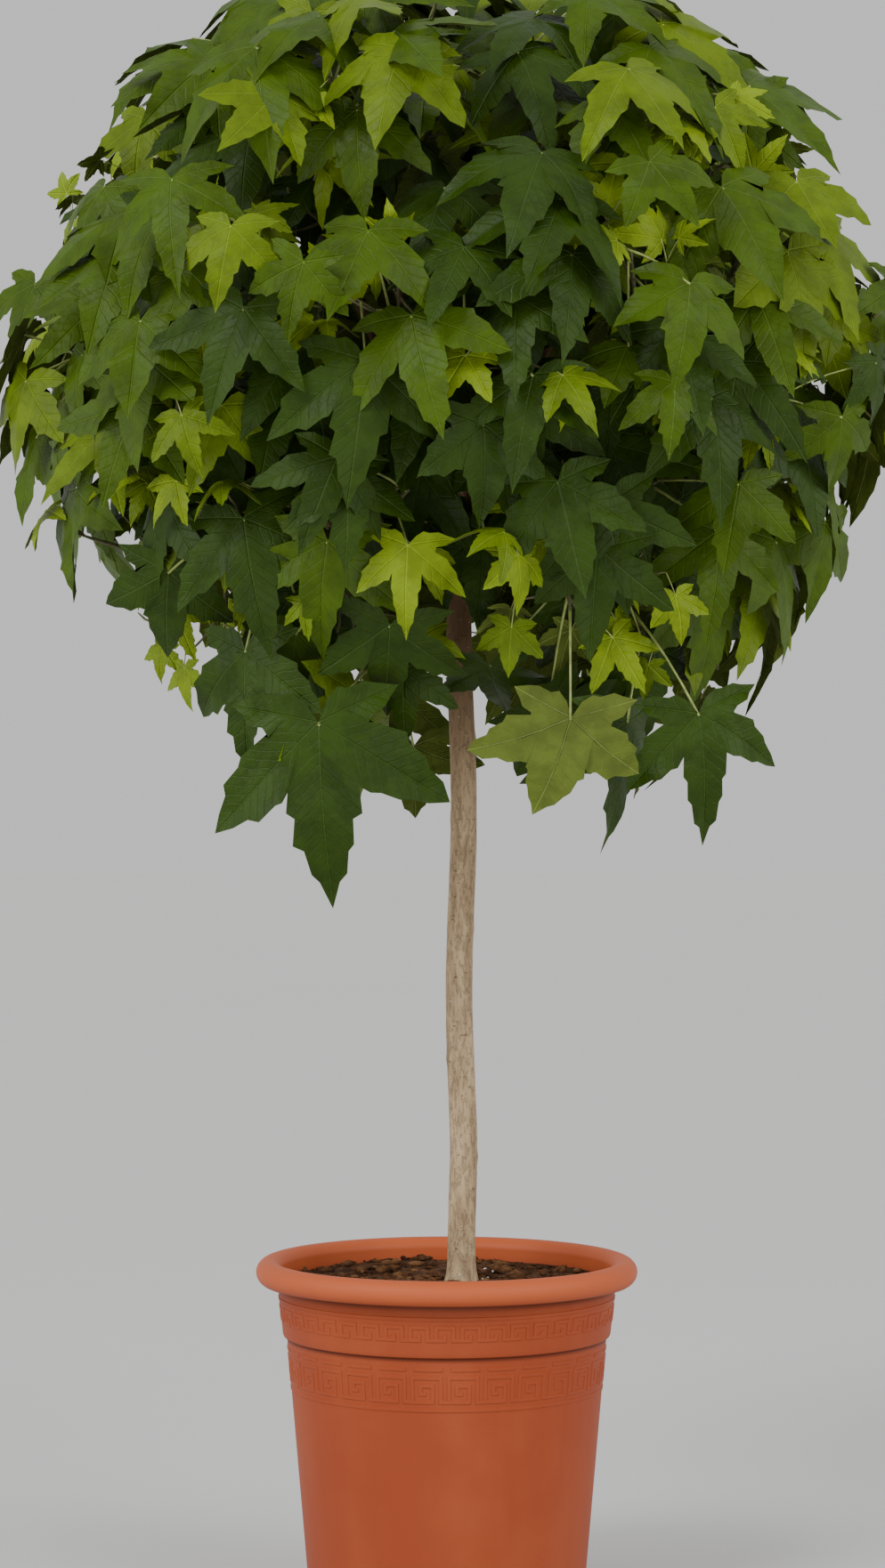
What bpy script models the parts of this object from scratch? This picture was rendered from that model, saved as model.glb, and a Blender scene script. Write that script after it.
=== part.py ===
"""Potted sweetgum: a young ball-headed standard tree in a round plastic pot.

One object for each sub-part: the pot, its soil, the trunk, twenty tapering boughs and twenty
masses of foliage. Metres, +Z up, origin at the centre of the pot's flat underside. The side
that is seen first faces -Y.
"""

import math
import random

import bmesh
import bpy
from mathutils import Matrix, Quaternion, Vector
from mathutils.bvhtree import BVHTree

# Gap between pieces that touch on the real plant
SEAT_GAP = 0.0003

# Pot: a rolled rim over a collar, and a body that tapers to a flat base
POT_HEIGHT = 0.330
RIM_RADIUS = 0.180
RIM_ROLL_RADIUS = 0.012
RIM_LIP_ANGLE = -60
COLLAR_TOP_RADIUS = 0.1595
COLLAR_FOOT_RADIUS = 0.1545
COLLAR_FOOT_HEIGHT = 0.258
COLLAR_FOOT_DROP = 0.0015
BODY_TOP_RADIUS = 0.1508
BASE_RADIUS = 0.1288
BASE_EDGE = 0.003
POT_WALL = 0.003
POT_FLOOR = 0.0035
POT_SIDES = 36
DRAIN_HOLES = 4
DRAIN_RADIUS = 0.0065
DRAIN_RING_RADIUS = 0.092

# Soil: level round the trunk, in low lumps further out
SOIL_LEVEL = 0.308
SOIL_FLAT_RADIUS = 0.036
SOIL_LUMP = 0.0035

# Trunk: a slim waved stem that swells at the graft and ends in a fork
TRUNK_OFFSET = 0.0139
TRUNK_BASE_RADIUS = 0.0132
TRUNK_WAIST_RADIUS = 0.0117
TRUNK_FLARE = 0.0035
FLARE_HEIGHT = 0.022
GRAFT_HEIGHT = 1.018
GRAFT_SWELL = 0.0042
GRAFT_LENGTH = 0.030
TRUNK_TIP_HEIGHT = 1.086
TRUNK_TIP_RADIUS = 0.0088
TRUNK_WAVE = 0.0022
TRUNK_WAVE_LENGTH = 0.34

# Crown: a broad dome over a looser hanging skirt, each a superellipse of revolution
CROWN_RADIUS = 0.440
CROWN_WAIST = 1.200
DOME_HEIGHT = 0.345
DOME_POWER = 2.6
SKIRT_DEPTH = 0.500
SKIRT_POWER = 1.8
SKIRT_CLEAR_RADIUS = 0.085
SKIRT_CLEAR_HEIGHT = 0.93
SKIRT_HOLLOW = 0.70

# Each tier: its masses, the turn of the first one from the front, the boughs' seat height on
# the trunk, the boughs' rise angle and tip (out, up), the stem's end (out, up), bough radius
TIERS = {
    "low": (6, 30, 0.998, 12, (0.150, 1.030), (0.285, 0.955), 0.0042),
    "mid": (8, 0, 1.032, 24, (0.150, 1.115), (0.320, 1.175), 0.0046),
    "high": (5, 36, 1.062, 52, (0.105, 1.235), (0.225, 1.400), 0.0046),
    "top": (1, 0, TRUNK_TIP_HEIGHT, 90, (0.004, 1.270), (0.012, 1.450), 0.0055),
}
# How far each mass reaches, as a share of the crown's own reach, starting at the front
TIER_REACH = {
    "low": (0.98, 1.02, 0.95, 0.98, 1.00, 0.96),
    "mid": (0.96, 0.98, 1.03, 0.97, 1.00, 0.96, 1.03, 0.99),
    "high": (0.96, 1.00, 0.97, 1.03, 0.99),
    "top": (1.0,),
}

# Twigs
STEM_RADIUS = 0.0044
STEM_TIP_RADIUS = 0.0034
TWIG_RADIUS = 0.0023
TWIG_TIP_RADIUS = 0.0019
TWIGS_PER_STEM = 5
TWIG_SPREAD = 52
TWIG_LENGTH = 0.125
GOLDEN_TURN = 137.5

# Leaves: a star of five lobes on a long stalk, given as (angle, share of the length)
LOBES = ((110, 0.54), (52, 0.84), (0, 1.0), (-52, 0.84), (-110, 0.54))
NOTCHES = ((82, 0.34), (26, 0.42), (-26, 0.42), (-82, 0.34))
LEAF_SIZES = (0.098, 0.126)
LEAF_THICKNESS = 0.015
LEAF_DROOP = 0.15
DROOP_POWER = 1.39
STALK_RADIUS = 0.0012
STALK_ROOT_SHARE = 0.55
STALK_LENGTHS = (0.022, 0.110)
STALK_IDEAL = 0.060
ROOT_SPACING = 0.009
LEAF_TRIES = 12
# Layers of leaves, as (how many places, share of the crown's depth)
LEAF_LAYERS = ((300, 0.93), (140, 0.78), (60, 0.62))
# How far a mass's leaves may reach over the middle line between it and the next mass
CROSSING = 0.035
SEED = 11

# Leaves that hang clear under the crown, as (mass, base, tip, facing)
HANGING_LEAVES = (
    ("low_6", (-0.113, -0.250, 0.832), (-0.109, -0.274, 0.678), (-0.10, -0.98, 0.15)),
    ("low_6", (-0.177, -0.220, 0.892), (-0.208, -0.250, 0.791), (-0.55, -0.80, 0.05)),
    ("low_1", (0.109, -0.250, 0.836), (0.080, -0.285, 0.735), (0.15, 0.90, -0.35)),
    ("low_1", (0.155, -0.225, 0.845), (0.161, -0.245, 0.730), (0.75, -0.60, 0.10)),
    ("low_1", (0.221, -0.250, 0.840), (0.236, -0.270, 0.735), (0.15, -0.95, 0.20)),
    ("low_2", (0.300, -0.120, 1.000), (0.352, -0.135, 0.905), (0.80, -0.50, 0.30)),
    ("low_2", (0.232, -0.160, 0.965), (0.266, -0.170, 0.858), (0.70, -0.65, 0.20)),
)

# Colours seen on the real plant, as (red, green, blue), and roughness
MATERIALS = {
    "terracotta_plastic": ((0.42, 0.11, 0.045), 0.55),
    "potting_soil": ((0.045, 0.028, 0.018), 0.95),
    "trunk_bark": ((0.30, 0.24, 0.17), 0.85),
    "bough_bark": ((0.20, 0.16, 0.08), 0.80),
    "leaf_green": ((0.075, 0.17, 0.018), 0.55),
}


def clear_scene():
    for obj in list(bpy.data.objects):
        bpy.data.objects.remove(obj, do_unlink=True)
    for name in ("potted_sweetgum", "helpers"):
        bpy.context.scene.collection.children.link(bpy.data.collections.new(name))


def material(name):
    found = bpy.data.materials.get(name)
    if found:
        return found
    colour, roughness = MATERIALS[name]
    made = bpy.data.materials.new(name)
    made.use_nodes = True
    shader = made.node_tree.nodes["Principled BSDF"]
    shader.inputs["Base Color"].default_value = (*colour, 1)
    shader.inputs["Roughness"].default_value = roughness
    return made


def add_object(name, data, material_name=None):
    """Links a new object to the plant's collection, or to the helpers where it has no material."""
    obj = bpy.data.objects.new(name, data)
    if material_name:
        bpy.data.collections["potted_sweetgum"].objects.link(obj)
        data.materials.append(material(material_name))
    else:
        bpy.data.collections["helpers"].objects.link(obj)
        obj.hide_render = True
        obj.display_type = "WIRE"
    return obj


def mesh_from(name, points, faces):
    mesh = bpy.data.meshes.new(name)
    mesh.from_pydata([tuple(p) for p in points], [], faces)
    mesh.update()
    return mesh


def evaluated_mesh(obj):
    bpy.context.view_layer.update()
    graph = bpy.context.evaluated_depsgraph_get()
    return bpy.data.meshes.new_from_object(obj.evaluated_get(graph), depsgraph=graph)


def replace_by_mesh(obj, material_name):
    """The object as the viewport shows it, as a plain mesh with its doubled points merged."""
    mesh = evaluated_mesh(obj)
    cage = bmesh.new()
    cage.from_mesh(mesh)
    bmesh.ops.remove_doubles(cage, verts=cage.verts, dist=1e-6)
    bmesh.ops.recalc_face_normals(cage, faces=cage.faces)
    cage.to_mesh(mesh)
    cage.free()
    name, place = obj.name, obj.matrix_world.copy()
    bpy.data.objects.remove(obj, do_unlink=True)
    mesh.materials.clear()
    made = add_object(name, mesh, material_name)
    made.matrix_world = place
    return made


def boolean(obj, cutter, operation):
    modifier = obj.modifiers.new(operation.lower(), "BOOLEAN")
    modifier.operation = operation
    modifier.object = cutter


def turned(name, profile, sides, material_name):
    """A solid of revolution. The profile holds (radius, height) pairs and ends on the axis."""
    points = [(radius, 0, height) for radius, height in profile]
    edges = [(i, i + 1) for i in range(len(points) - 1)]
    mesh = bpy.data.meshes.new(name)
    mesh.from_pydata(points, edges, [])
    obj = add_object(name, mesh, material_name)
    screw = obj.modifiers.new("turn", "SCREW")
    screw.steps = screw.render_steps = sides
    screw.use_merge_vertices = True
    screw.merge_threshold = 1e-5
    return obj


def tube(name, path, radii, rounding, material_name=None):
    """A tapering limb through the points of a path, with flat ends."""
    curve = bpy.data.curves.new(name, "CURVE")
    curve.dimensions = "3D"
    curve.bevel_depth = 1.0
    curve.bevel_resolution = rounding
    curve.use_fill_caps = True
    spline = curve.splines.new("POLY")
    spline.points.add(len(path) - 1)
    for point, place, radius in zip(spline.points, path, radii):
        point.co = (*place, 1)
        point.radius = radius
    return add_object(name, curve, material_name)


# Pot and soil


def arc(centre, radius, start, end, steps):
    turns = [math.radians(start + (end - start) * i / steps) for i in range(steps + 1)]
    return [(centre[0] + radius * math.cos(t), centre[1] + radius * math.sin(t)) for t in turns]


def inner_wall(gap):
    """The pot's inside from the floor's corner up to the rim, moved inwards by a gap."""
    inset = POT_WALL + gap
    return [
        (BASE_RADIUS - inset, POT_FLOOR + gap),
        (BODY_TOP_RADIUS - inset, COLLAR_FOOT_HEIGHT),
        (COLLAR_FOOT_RADIUS - inset, COLLAR_FOOT_HEIGHT + 0.006),
        (COLLAR_TOP_RADIUS - inset, POT_HEIGHT - RIM_ROLL_RADIUS),
    ]


def make_pot():
    roll = (RIM_RADIUS - RIM_ROLL_RADIUS, POT_HEIGHT - RIM_ROLL_RADIUS)
    profile = [(0, POT_FLOOR), *inner_wall(0)]
    profile += arc(roll, RIM_ROLL_RADIUS, 170, RIM_LIP_ANGLE, 5)
    profile += arc(roll, RIM_ROLL_RADIUS - POT_WALL, RIM_LIP_ANGLE, 160, 3)
    profile += [
        (COLLAR_TOP_RADIUS, roll[1] - RIM_ROLL_RADIUS),
        (COLLAR_FOOT_RADIUS, COLLAR_FOOT_HEIGHT),
        (BODY_TOP_RADIUS, COLLAR_FOOT_HEIGHT - COLLAR_FOOT_DROP),
        (BASE_RADIUS, BASE_EDGE),
        (BASE_RADIUS - BASE_EDGE, 0),
        (0, 0),
    ]
    pot = turned("pot", profile, POT_SIDES, "terracotta_plastic")
    pot = replace_by_mesh(pot, "terracotta_plastic")
    for i in range(DRAIN_HOLES):
        turn = math.tau * (i + 0.5) / DRAIN_HOLES
        cage = bmesh.new()
        place = Matrix.Translation(
            (DRAIN_RING_RADIUS * math.cos(turn), DRAIN_RING_RADIUS * math.sin(turn), 0)
        )
        bmesh.ops.create_cone(
            cage, cap_ends=True, segments=6, radius1=DRAIN_RADIUS, radius2=DRAIN_RADIUS,
            depth=POT_FLOOR * 4, matrix=place,
        )
        mesh = bpy.data.meshes.new(f"drain_{i}")
        cage.to_mesh(mesh)
        cage.free()
        boolean(pot, add_object(f"drain_{i}", mesh), "DIFFERENCE")


def make_soil():
    """The soil fills the pot up to its level. Its top is lumpy outside the flat round the trunk."""
    wall = inner_wall(SEAT_GAP)
    share = (SOIL_LEVEL - wall[2][1]) / (wall[3][1] - wall[2][1])
    edge = wall[2][0] + (wall[3][0] - wall[2][0]) * share
    rings = [SOIL_FLAT_RADIUS + (edge - SOIL_FLAT_RADIUS) * i / 2 for i in range(2)]
    profile = [(0, SOIL_LEVEL), *((ring, SOIL_LEVEL) for ring in rings), (edge, SOIL_LEVEL)]
    profile += [*reversed(wall[:3]), (0, POT_FLOOR + SEAT_GAP)]
    soil = turned("soil", profile, POT_SIDES, "potting_soil")
    soil = replace_by_mesh(soil, "potting_soil")
    dice = random.Random(SEED)
    for vertex in soil.data.vertices:
        out = math.hypot(vertex.co.x, vertex.co.y)
        if vertex.co.z > SOIL_LEVEL - 1e-4 and rings[0] + 0.01 < out < edge - 0.01:
            vertex.co.z += dice.uniform(-0.4, 1) * SOIL_LUMP


# Trunk and boughs


def trunk_centre(height):
    """The trunk's axis: upright at the foot, then in a slow shallow wave."""
    rise = max(0, height - SOIL_LEVEL - FLARE_HEIGHT)
    settle = min(1, rise / 0.1)
    wave = math.sin(math.tau * rise / TRUNK_WAVE_LENGTH) * TRUNK_WAVE * settle
    return Vector((TRUNK_OFFSET + wave, -wave * 0.6, height))


def trunk_radius(height):
    share = (height - SOIL_LEVEL) / (TRUNK_TIP_HEIGHT - SOIL_LEVEL)
    radius = TRUNK_BASE_RADIUS + (TRUNK_WAIST_RADIUS - TRUNK_BASE_RADIUS) * share
    radius += TRUNK_FLARE * max(0, 1 - (height - SOIL_LEVEL) / FLARE_HEIGHT) ** 2
    radius += GRAFT_SWELL * math.exp(-(((height - GRAFT_HEIGHT) / GRAFT_LENGTH) ** 2))
    above = max(0, height - GRAFT_HEIGHT) / (TRUNK_TIP_HEIGHT - GRAFT_HEIGHT)
    return radius + (TRUNK_TIP_RADIUS - TRUNK_WAIST_RADIUS) * above**2


def make_trunk(name, grow, material_name=None):
    """The trunk, or a thicker copy of it that cuts the boughs to fit."""
    foot = SOIL_LEVEL + SEAT_GAP
    heights = [foot, foot + FLARE_HEIGHT / 2, foot + FLARE_HEIGHT]
    while heights[-1] < GRAFT_HEIGHT - 2 * GRAFT_LENGTH - 0.03:
        heights.append(heights[-1] + TRUNK_WAVE_LENGTH / 7)
    steps = 6
    start = GRAFT_HEIGHT - 1.8 * GRAFT_LENGTH
    heights += [start + (TRUNK_TIP_HEIGHT - start) * i / steps for i in range(steps + 1)]
    path = [trunk_centre(z) for z in heights]
    radii = [trunk_radius(z) + grow for z in heights]
    return replace_by_mesh(tube(name, path, radii, 2, material_name), material_name)


class Mass:
    """One mass of foliage and the bough that carries it."""

    def __init__(self, tier, index):
        count, first_turn, seat, rise, tip, end, radius = TIERS[tier]
        self.name = f"{tier}_{index + 1}" if count > 1 else tier
        self.turn = math.radians(first_turn + 360 * index / count)
        self.outward = Vector((math.sin(self.turn), -math.cos(self.turn), 0))
        self.reach = TIER_REACH[tier][index]
        self.upright = tier == "top"
        self.seat = trunk_centre(seat)
        self.rise = math.radians(rise)
        self.bough_tip = self.place(tip)
        self.stem_end = self.place((end[0] * self.reach, end[1]))
        self.bough_radius = radius
        self.twigs = []
        self.roots = []
        self.parts = []

    def place(self, out_up):
        axis = trunk_centre(self.seat.z)
        return Vector((axis.x, axis.y, 0)) + self.outward * out_up[0] + Vector((0, 0, out_up[1]))

    def bough_path(self, steps=4):
        """A limb that leaves the trunk at its rise angle and bends towards its tip."""
        start = self.seat.copy()
        if self.upright:
            start.z += SEAT_GAP
        heading = self.outward * math.cos(self.rise) + Vector((0, 0, math.sin(self.rise)))
        middle = start + heading * (self.bough_tip - start).length * 0.5
        return [bezier(start, middle, self.bough_tip, i / steps) for i in range(steps + 1)]


def bezier(a, b, c, t):
    return a * (1 - t) ** 2 + b * (2 * t * (1 - t)) + c * t**2


def make_bough(mass, cutter):
    path = mass.bough_path()
    radii = [mass.bough_radius * (1 - 0.22 * i / (len(path) - 1)) for i in range(len(path))]
    bough = tube(f"bough_{mass.name}", path, radii, 1, "bough_bark")
    bough = replace_by_mesh(bough, "bough_bark")
    if not mass.upright:
        boolean(bough, cutter, "DIFFERENCE")
        bough = replace_by_mesh(bough, "bough_bark")
    return bough


# Crown


def crown_measure(point):
    """How far out a point is, from 0 at the crown's centre to 1 at its surface."""
    across = math.hypot(point.x, point.y) / CROWN_RADIUS
    if point.z > CROWN_WAIST:
        up, power = (point.z - CROWN_WAIST) / DOME_HEIGHT, DOME_POWER
    else:
        up, power = (CROWN_WAIST - point.z) / SKIRT_DEPTH, SKIRT_POWER
    return (across**power + up**power) ** (1 / power)


def in_open_skirt(point):
    """The open space round the trunk, under the crown."""
    if point.z > SKIRT_CLEAR_HEIGHT:
        return False
    return math.hypot(point.x, point.y) < SKIRT_CLEAR_RADIUS or crown_measure(point) < SKIRT_HOLLOW


def leaf_places(dice, count, depth):
    """Evenly spread places for leaf blades, on the crown's surface or at a share of its depth."""
    places = []
    for i in range(count):
        up = 1 - 2 * (i + 0.5) / count
        turn = math.radians(GOLDEN_TURN) * i + dice.uniform(-0.12, 0.12)
        across = math.sqrt(1 - up * up)
        heading = Vector((across * math.sin(turn), -across * math.cos(turn), up))
        centre = Vector((0, 0, CROWN_WAIST))
        place = centre + heading / crown_measure(centre + heading) * depth
        if in_open_skirt(place) or (place.z < SKIRT_CLEAR_HEIGHT and dice.random() < 0.35):
            continue
        places.append(place)
    return places


def nearest_mass(masses, point):
    return min(masses, key=lambda mass: (point - mass.centre).length_squared)


def bounds_of(points):
    low = Vector([min(p[i] for p in points) for i in range(3)])
    high = Vector([max(p[i] for p in points) for i in range(3)])
    return low, high


class Solid:
    """A small closed mesh that can be tested against its neighbours."""

    def __init__(self, points, faces, owner=None):
        self.points, self.faces, self.owner = points, faces, owner
        self.low, self.high = bounds_of(points)
        self.tree = BVHTree.FromPolygons(points, faces)

    def touches(self, other, margin=0.0008):
        for i in range(3):
            if self.low[i] > other.high[i] + margin or other.low[i] > self.high[i] + margin:
                return False
        return bool(self.tree.overlap(other.tree))


def solid_of(obj, owner=None):
    mesh = obj.data
    points = [obj.matrix_world @ v.co for v in mesh.vertices]
    return Solid(points, [tuple(p.vertices) for p in mesh.polygons], owner)


def side_axes(heading, hint):
    across = hint - heading * hint.dot(heading)
    across.normalize()
    return across, heading.cross(across)


def three_sided(path, radii):
    """Points and faces of a closed three-sided twig, whose sides don't twist along its path."""
    points, faces = [], []
    heading = (path[1] - path[0]).normalized()
    across, _ = side_axes(heading, Vector((0.31, -0.23, 0.92)))
    for i, (place, radius) in enumerate(zip(path, radii)):
        before, after = path[max(0, i - 1)], path[min(len(path) - 1, i + 1)]
        ahead = (after - before).normalized()
        across.rotate(heading.rotation_difference(ahead))
        heading, over = ahead, ahead.cross(across)
        for k in range(3):
            turn = math.tau * k / 3
            points.append(place + (across * math.cos(turn) + over * math.sin(turn)) * radius)
    for i in range(len(path) - 1):
        for k in range(3):
            a, b = 3 * i + k, 3 * i + (k + 1) % 3
            faces += [(a, b, b + 3), (a, b + 3, a + 3)]
    end = 3 * (len(path) - 1)
    faces += [(2, 1, 0), (end, end + 1, end + 2)]
    return points, faces


def blade_rim(base, axis, normal, size):
    """The outline of a blade: the tips of its lobes and the notches between them."""
    side, rim = normal.cross(axis), []
    outline = [corner for pair in zip(LOBES, NOTCHES) for corner in pair] + [LOBES[-1]]
    for angle, share in outline:
        turn, out = math.radians(angle), share * size
        ahead = axis * (out * math.cos(turn)) + side * (out * math.sin(turn))
        rim.append(base + ahead - normal * (LEAF_DROOP * share**DROOP_POWER * size))
    return rim


def leaf_solid(root, base, axis, normal, size, grow=0.0):
    """One leaf as a closed mesh: a three-sided stalk from root to base, and a five-lobed blade."""
    side = normal.cross(axis)
    stalk = (base - root).normalized()
    across, _ = side_axes(stalk, side)
    beneath = across.cross(stalk)
    half = STALK_RADIUS + grow
    rim = blade_rim(base, axis, normal, size * (1 + 6 * grow))
    top = base + axis * (0.18 * size) + normal * (LEAF_THICKNESS * size + grow)
    left, right = base + side * half, base - side * half
    under = base + beneath * (half * 1.6) - normal * 0.0005
    sunk = root - stalk * 0.0002
    ends = [sunk + (corner - base) * STALK_ROOT_SHARE for corner in (left, under, right)]
    points = [top, left, *rim, right, under, *ends]
    last = len(rim) + 2
    low, end = last + 1, last + 2
    faces = [(0, i + 1, i) for i in range(1, last)] + [(0, 1, last)]
    faces += [(1, 2, 3), (last - 2, last - 1, last)]
    faces += [(i, i + 1, i + 2) for i in (3, 5, 7)]
    faces += [(low, 1, 3), (low, 3, 5), (low, 5, 7), (low, 7, 9), (low, 9, last)]
    loop, far = (1, low, last), (end, end + 1, end + 2)
    for k in range(3):
        n = (k + 1) % 3
        faces += [(loop[k], loop[n], far[n]), (loop[k], far[n], far[k])]
    faces.append((far[0], far[1], far[2]))
    return points, faces


def outward_facing(points, faces):
    """The same faces, turned round where the mesh would be inside out."""
    volume = sum(points[a].dot(points[b].cross(points[c])) for a, b, c in faces)
    return faces if volume > 0 else [face[::-1] for face in faces]


def twig_paths(mass, dice):
    """The stem that carries on from the bough's tip, and the side twigs that turn round it."""
    start_path = mass.bough_path()
    heading = (start_path[-1] - start_path[-2]).normalized()
    start = mass.bough_tip + heading * SEAT_GAP
    length = (mass.stem_end - start).length
    middle = start + heading * length * 0.45
    stem = [bezier(start, middle, mass.stem_end, i / 4) for i in range(5)]
    stem[1] = start + heading * (stem[1] - start).length
    twigs = [(stem, STEM_RADIUS, STEM_TIP_RADIUS)]
    first = dice.uniform(0, 360)
    for i in range(TWIGS_PER_STEM):
        along = 0.16 + 0.74 * i / (TWIGS_PER_STEM - 1)
        place = bezier(start, middle, mass.stem_end, along)
        heading = (bezier(start, middle, mass.stem_end, along + 0.05) - place).normalized()
        across, _ = side_axes(heading, Vector((0, 0, 1)) if abs(heading.z) < 0.9 else mass.outward)
        across.rotate(Quaternion(heading, math.radians(first + GOLDEN_TURN * i)))
        spread = math.radians(TWIG_SPREAD + dice.uniform(-8, 8))
        lead = heading * math.cos(spread) + across * math.sin(spread)
        length = TWIG_LENGTH * dice.uniform(0.85, 1.2)
        for _ in range(6):
            lift = Vector((0, 0, 0.12 * length))
            twig = [place, place + lead * length * 0.5, place + lead * length + lift]
            if crown_measure(twig[-1]) < mass.reach - 0.10 and not in_open_skirt(twig[-1]):
                if nearest_mass(MASSES, twig[-1]) is mass:
                    twigs.append((twig, TWIG_RADIUS, TWIG_TIP_RADIUS))
                    break
            length *= 0.82
    return twigs


def radii_along(count, first, last):
    return [first + (last - first) * i / (count - 1) for i in range(count)]


def grow_twigs(mass, dice, taken):
    """Adds the mass's twigs, leaving out any that would touch a limb or another mass."""
    for path, first, last in twig_paths(mass, dice):
        radii = radii_along(len(path), first, last)
        points, faces = three_sided(path, radii)
        solid = Solid(points, outward_facing(points, faces), mass)
        if any(solid.touches(other) for other in taken if other.owner is not mass):
            continue
        mass.twigs.append((path, solid))
        mass.parts.append(solid)
        taken.append(solid)


def note_roots(mass):
    """Points along the mass's twigs where a leaf's stalk can start."""
    for number, (path, _) in enumerate(mass.twigs):
        for i in range(len(path) - 1):
            steps = max(2, round((path[i + 1] - path[i]).length / ROOT_SPACING))
            for step in range(steps):
                root = path[i].lerp(path[i + 1], (step + 0.5) / steps)
                if number and (root - path[0]).length < 0.012:
                    continue
                if (root - mass.bough_tip).length < 0.015:
                    continue
                mass.roots.append((root, (path[i + 1] - path[i]).normalized()))


def best_roots(mass, base, axis, side, longest):
    """The free points from which a stalk can reach this base, the best first."""
    found = []
    for root, heading in mass.roots:
        stalk = base - root
        reach = stalk.length
        if not STALK_LENGTHS[0] < reach < longest:
            continue
        stalk /= reach
        if not -0.35 < stalk.dot(heading) < 0.86 or stalk.dot(axis) < -0.1:
            continue
        if abs(stalk.dot(side)) < 0.75:
            found.append((abs(reach - STALK_IDEAL), len(found), root))
    return [root for _, _, root in sorted(found)[:5]]


def leaf_attitude(mass, place, dice):
    """A blade faces out of the crown and hangs, and lies flatter towards the top."""
    out = place - Vector((0, 0, CROWN_WAIST - 0.12))
    out.normalize()
    wobble = Vector([dice.uniform(-1, 1) for _ in range(3)])
    normal = (out + Vector((0, 0, 0.35)) + wobble * 0.38).normalized()
    level = Vector((out.x, out.y, 0))
    wobble = Vector([dice.uniform(-1, 1) for _ in range(3)])
    axis = Vector((0, 0, -1)) + level * 0.55 + wobble * 0.45
    axis -= normal * axis.dot(normal)
    if axis.length < 0.1:
        axis = mass.outward.copy()
        axis -= normal * axis.dot(normal)
    return axis.normalized(), normal


def outside(mass, blade):
    """Whether any point of a blade leaves the crown's outline or the mass's own space."""
    for point in blade:
        if crown_measure(point) > mass.reach + 0.02 or in_open_skirt(point) or crosses(mass, point):
            return True
    return False


def add_leaf(mass, base, axis, normal, size, taken, longest=STALK_LENGTHS[1]):
    """Adds a leaf on the first free root from which it is clear of everything else."""
    side = normal.cross(axis)
    for root in best_roots(mass, base, axis, side, longest):
        clear_root = root + (base - root).normalized() * 0.0085
        test = Solid(*leaf_solid(clear_root, base, axis, normal, size, 0.0006), mass)
        if any(test.touches(other) for other in taken):
            continue
        points, faces = leaf_solid(root, base, axis, normal, size)
        mass.parts.append(Solid(points, outward_facing(points, faces), mass))
        taken.append(test)
        mass.roots = [row for row in mass.roots if (row[0] - root).length > ROOT_SPACING]
        return True
    return False


def grow_leaf(mass, place, dice, taken):
    """Tries a few attitudes for a leaf near a place, and leaves it out where none is clear."""
    for attempt in range(LEAF_TRIES):
        size = dice.uniform(*LEAF_SIZES) * (1 - 0.02 * attempt)
        shift = Vector([dice.uniform(-1, 1) for _ in range(3)]) * (0.003 * attempt)
        axis, normal = leaf_attitude(mass, place, dice)
        base = place + shift - axis * size * 0.42
        if outside(mass, blade_rim(base, axis, normal, size)):
            continue
        if add_leaf(mass, base, axis, normal, size, taken):
            return True
    return False


def hang_leaves(dice, taken):
    """Adds the leaves that hang clear under the crown, each as near its place as it can root."""
    grown = 0
    for name, base, tip, facing in HANGING_LEAVES:
        mass = next(each for each in MASSES if each.name == name)
        facing = Vector(facing).normalized()
        axis = Vector(tip) - Vector(base)
        size = axis.length
        axis = (axis - facing * axis.dot(facing)).normalized()
        for attempt in range(30):
            shift = Vector([dice.uniform(-1, 1) for _ in range(3)]) * (0.001 * attempt)
            if add_leaf(mass, Vector(base) + shift, axis, facing, size, taken, longest=0.15):
                grown += 1
                break
        else:
            print("no root for a hanging leaf of", name, base)
    return grown


def crosses(mass, point):
    """Whether a point lies further than a leaf's tip may over the edge of the mass's own space."""
    nearest = nearest_mass(MASSES, point)
    if nearest is mass:
        return False
    ahead = (nearest.centre - mass.centre).normalized()
    return (point - (nearest.centre + mass.centre) / 2).dot(ahead) > CROSSING


def fuse(mass):
    """Joins the mass's twigs and leaves into one solid."""
    group = bpy.data.collections.new(f"parts_{mass.name}")
    bpy.context.scene.collection.children.link(group)
    joined = []
    for i, solid in enumerate(mass.parts):
        part = bpy.data.objects.new(f"{mass.name}_{i}", mesh_from("part", solid.points, solid.faces))
        joined.append(part)
        if i:
            group.objects.link(part)
    body = joined[0]
    bpy.context.scene.collection.objects.link(body)
    modifier = body.modifiers.new("union", "BOOLEAN")
    modifier.operation, modifier.operand_type = "UNION", "COLLECTION"
    modifier.collection, modifier.solver = group, "MANIFOLD"
    mesh = evaluated_mesh(body)
    for part in joined:
        bpy.data.objects.remove(part, do_unlink=True)
    bpy.data.collections.remove(group)
    keep_main_body(mesh)
    mesh.materials.clear()
    add_object(f"foliage_{mass.name}", mesh, "leaf_green")


def keep_main_body(mesh):
    """Drops any loose scrap and fills any sealed hollow, by keeping the largest shell only."""
    cage = bmesh.new()
    cage.from_mesh(mesh)
    bmesh.ops.triangulate(cage, faces=cage.faces)
    bmesh.ops.remove_doubles(cage, verts=cage.verts, dist=2e-6)
    shells, seen = [], set()
    for start in cage.faces:
        if start in seen:
            continue
        shell, queue = [], [start]
        seen.add(start)
        while queue:
            face = queue.pop()
            shell.append(face)
            for edge in face.edges:
                if len(edge.link_faces) != 2:
                    continue
                for other in edge.link_faces:
                    if other not in seen:
                        seen.add(other)
                        queue.append(other)
        shells.append(shell)
    shells.sort(key=len, reverse=True)
    loose = [face for shell in shells[1:] for face in shell]
    bmesh.ops.delete(cage, geom=loose, context="FACES")
    cage.to_mesh(mesh)
    cage.free()


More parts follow.
